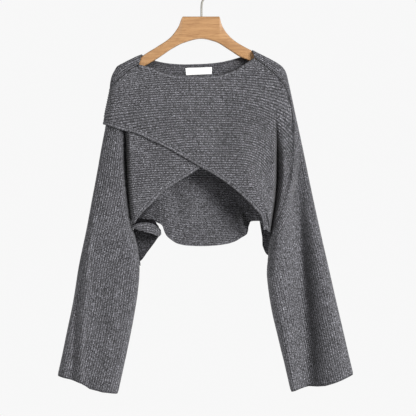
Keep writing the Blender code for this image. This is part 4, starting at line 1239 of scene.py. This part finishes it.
# The hem turns in behind the lip and meets the back's hem.
LIP_Y = 1.5             # how far behind the lip it starts
TURNED_Y = 14.5         # y of its far edge
x, lip_y, lip_d = (line[:TURNED_POINTS] for line in (roll_x, roll_y, roll_top))
turned = smooth(TURNED)
lines = []
for s in shares(25):
    y = lip_y + LIP_Y + (TURNED_Y - lip_y) * s
    d = lip_d + 1.0 + 6.0 * np.sin(np.pi * s) + (turned(x) - 1.0 - lip_d) * s
    aside = 4.5 * clamp((-140.0 - x) / 10.0) * clamp((y - 7.0) / 5.0)
    lines.append(np.column_stack([beside_arm(x, d) - aside, y, -d]))
grid = np.array(lines)
# Painted deep shade: the turned-in part is drawn in the near-black copy of the yarn.
gutter = cloth("turned_hem_cloth", (), grid, RIB * crest(arc(grid, 0) / PITCH), (2, 1),
               material=painted_deep_shade_yarn)

# ---------------------------------------------------------------- neck label
LABEL_GAP = 0.55        # between the label and the back
u, v = (part[:, :, None] for part in np.meshgrid(shares(81), shares(25)))
upper_left, upper_right, low_right, low_left = np.array(LABEL)
spots = (upper_left * (1 - u) + upper_right * u) * (1 - v) + (low_left * (1 - u) + low_right * u) * v
x, d = spots[:, :, 0], spots[:, :, 1]
puff = 0.35 * (np.sin(np.pi * u) * np.sin(np.pi * v))[:, :, 0]
grid = np.stack([x, y_back(x, d) - WALL - LABEL_GAP - puff, -d], axis=-1)[:, ::-1]
rim = np.minimum(to_edge(grid, 1), to_edge(grid, 0))
label = cloth("blank_neck_label", ("neck_label",), grid, thinned(0.0, rim, 0.25, 0.8), (4, 8), -1.0,
              arc(grid, 1) / 2.0, wall=LABEL_WALL, material=label_material())


# ---------------------------------------------------------------- hanger
def skin(rings, around, turned=False):
    """Quads between rings of points and a face over each end."""
    faces = []
    for first in range(0, (rings - 1) * around, around):
        for k in range(around):
            a = first + k
            b = first + (k + 1) % around
            faces.append([a, b, b + around, a + around])
    faces.append(list(range(around))[::-1])
    faces.append(list(range((rings - 1) * around, rings * around)))
    return [face[::-1] for face in faces] if turned else faces


CORNER = 6              # points round a corner of the wood
ROUND = 3.4             # radius of its corners
hanger_top = smooth(HANGER_TOP)
hanger_low = smooth(HANGER_LOW)
left_tip, right_tip = HANGER_TOP[0][0], HANGER_TOP[-1][0]
xs = np.unique(np.concatenate([left_tip + (right_tip - left_tip) * shares(150),
                               np.linspace(-42.5, -38.5, 9), np.linspace(37.0, 41.0, 9)]))
verts = []
for x in xs:
    slim = float(swell(min(x - left_tip, right_tip - x) / 4.0))
    half = HANGER_T / 2 * (0.55 + 0.45 * slim)
    top = -float(hanger_top(x))
    low = -float(hanger_low(x))
    mid = (top + low) / 2
    top = mid + (top - mid) * (0.7 + 0.3 * slim)
    low = mid + (low - mid) * (0.7 + 0.3 * slim)
    r = min(ROUND, 0.42 * (top - low), 0.8 * half)
    for cy, cz, start in ((half - r, top - r, 0), (-half + r, top - r, 90), (-half + r, low + r, 180),
                          (half - r, low + r, 270)):
        for angle in np.radians(start + np.linspace(0.0, 90.0, CORNER)):
            verts.append((x, cy + r * np.cos(angle), cz + r * np.sin(angle), x / 10.0, cz / 10.0))
piece("wooden_hanger", ("hanger_body",), verts, skin(len(xs), 4 * CORNER), wood_material(),
      40.0)

AROUND = 20             # points round the wire
HOOK_R = CROWN + WIRE
bow = np.radians(np.arange(-35, 216, 12))
way = np.vstack([HOOK_STEM, np.column_stack([HOOK_R * np.cos(bow), HOOK_R * np.sin(bow) - CROWN])])
way = along(way)(shares(150))
step = np.gradient(way, axis=0)
step = step / np.linalg.norm(step, axis=1)[:, None]
step[0] = (0.0, 1.0)
verts = []
for i, ((x, z), (sx, sz)) in enumerate(zip(way, step)):
    r = WIRE * swell((len(way) - 0.4 - i) / 4.0)
    for k in range(AROUND):
        angle = 2 * np.pi * k / AROUND
        out = r * np.cos(angle)
        verts.append((x - sz * out, r * np.sin(angle), z + sx * out, k / 4.0, i / 4.0))
piece("steel_hook", ("hanger_hook",), verts, skin(len(way), AROUND, True), steel_material(),
      40.0)

# ---------------------------------------------------------------- stage
# Sizes from here on are in metres.
FLOOR_R = 2.4
FLOOR_Z = -1.32
look = Nodes(bpy.data.materials.new("pale_floor"))
look.shade({"Roughness": 0.9,
            "Base Color": look.ramp(look.noise(look.place(), 3.0), (0.3, 0.90), (0.7, 0.93))})
mesh = bpy.data.meshes.new("floor")
ring = [(FLOOR_R * np.cos(a), FLOOR_R * np.sin(a), FLOOR_Z) for a in np.linspace(0, 2 * np.pi, 97)[:-1]]
mesh.from_pydata(ring, [], [list(range(len(ring)))])
mesh.materials.append(look.owner)
floor = shown("floor", mesh)

sky = Nodes(bpy.data.worlds.new("studio"))
light = sky.tree.nodes["Background"]
sky.fill(light, {"Color": (1.0, 1.0, 1.0), "Strength": 0.15})
seen = sky.add("ShaderNodeBackground", {"Color": (0.935, 0.935, 0.935), "Strength": 1.0})
by_camera = sky.add("ShaderNodeLightPath").outputs["Is Camera Ray"]
choose = sky.add("ShaderNodeMixShader", {0: by_camera, 1: light.outputs[0], 2: seen.outputs[0]})
sky.fill(sky.tree.nodes["World Output"], {0: choose.outputs[0]})
bpy.context.scene.world = sky.owner


def lamp(name, place, size, power, glossy=True):
    """Square lamp that looks at the middle of the garment."""
    data = bpy.data.lights.new(name, "AREA")
    data.shape = "SQUARE"
    data.size = size
    data.energy = power
    obj = shown(name, data)
    obj.location = place
    obj.visible_glossy = glossy
    obj.rotation_mode = "QUATERNION"
    obj.rotation_quaternion = (Vector((0.014, 0.0, -0.5)) - Vector(place)).to_track_quat("-Z", "Y")


lamp("key", (2.1, -2.2, 0.6), 1.0, 148.0)
lamp("fill", (-1.5, -2.8, 0.8), 1.0, 27.0)
lamp("rear", (0.6, 2.4, 0.9), 1.4, 46.0, False)
lamp("rear_side", (-2.3, 0.9, 0.3), 1.4, 36.0, False)

DISTANCE = 4.2
FRAME_W = 0.9152        # width of the picture at the garment
SENSOR = 36.0           # width of the camera's sensor, in millimetres
camera = shown("camera", bpy.data.cameras.new("camera"))
camera.location = (0.0143, -DISTANCE, -0.5129)
camera.rotation_euler = (np.pi / 2, 0.0, 0.0)
camera.data.sensor_width = SENSOR
camera.data.lens = SENSOR * DISTANCE / FRAME_W
camera.data.clip_end = 50.0
bpy.context.scene.camera = camera
bpy.context.scene.view_settings.view_transform = "Standard"
bpy.context.scene.view_settings.look = "None"
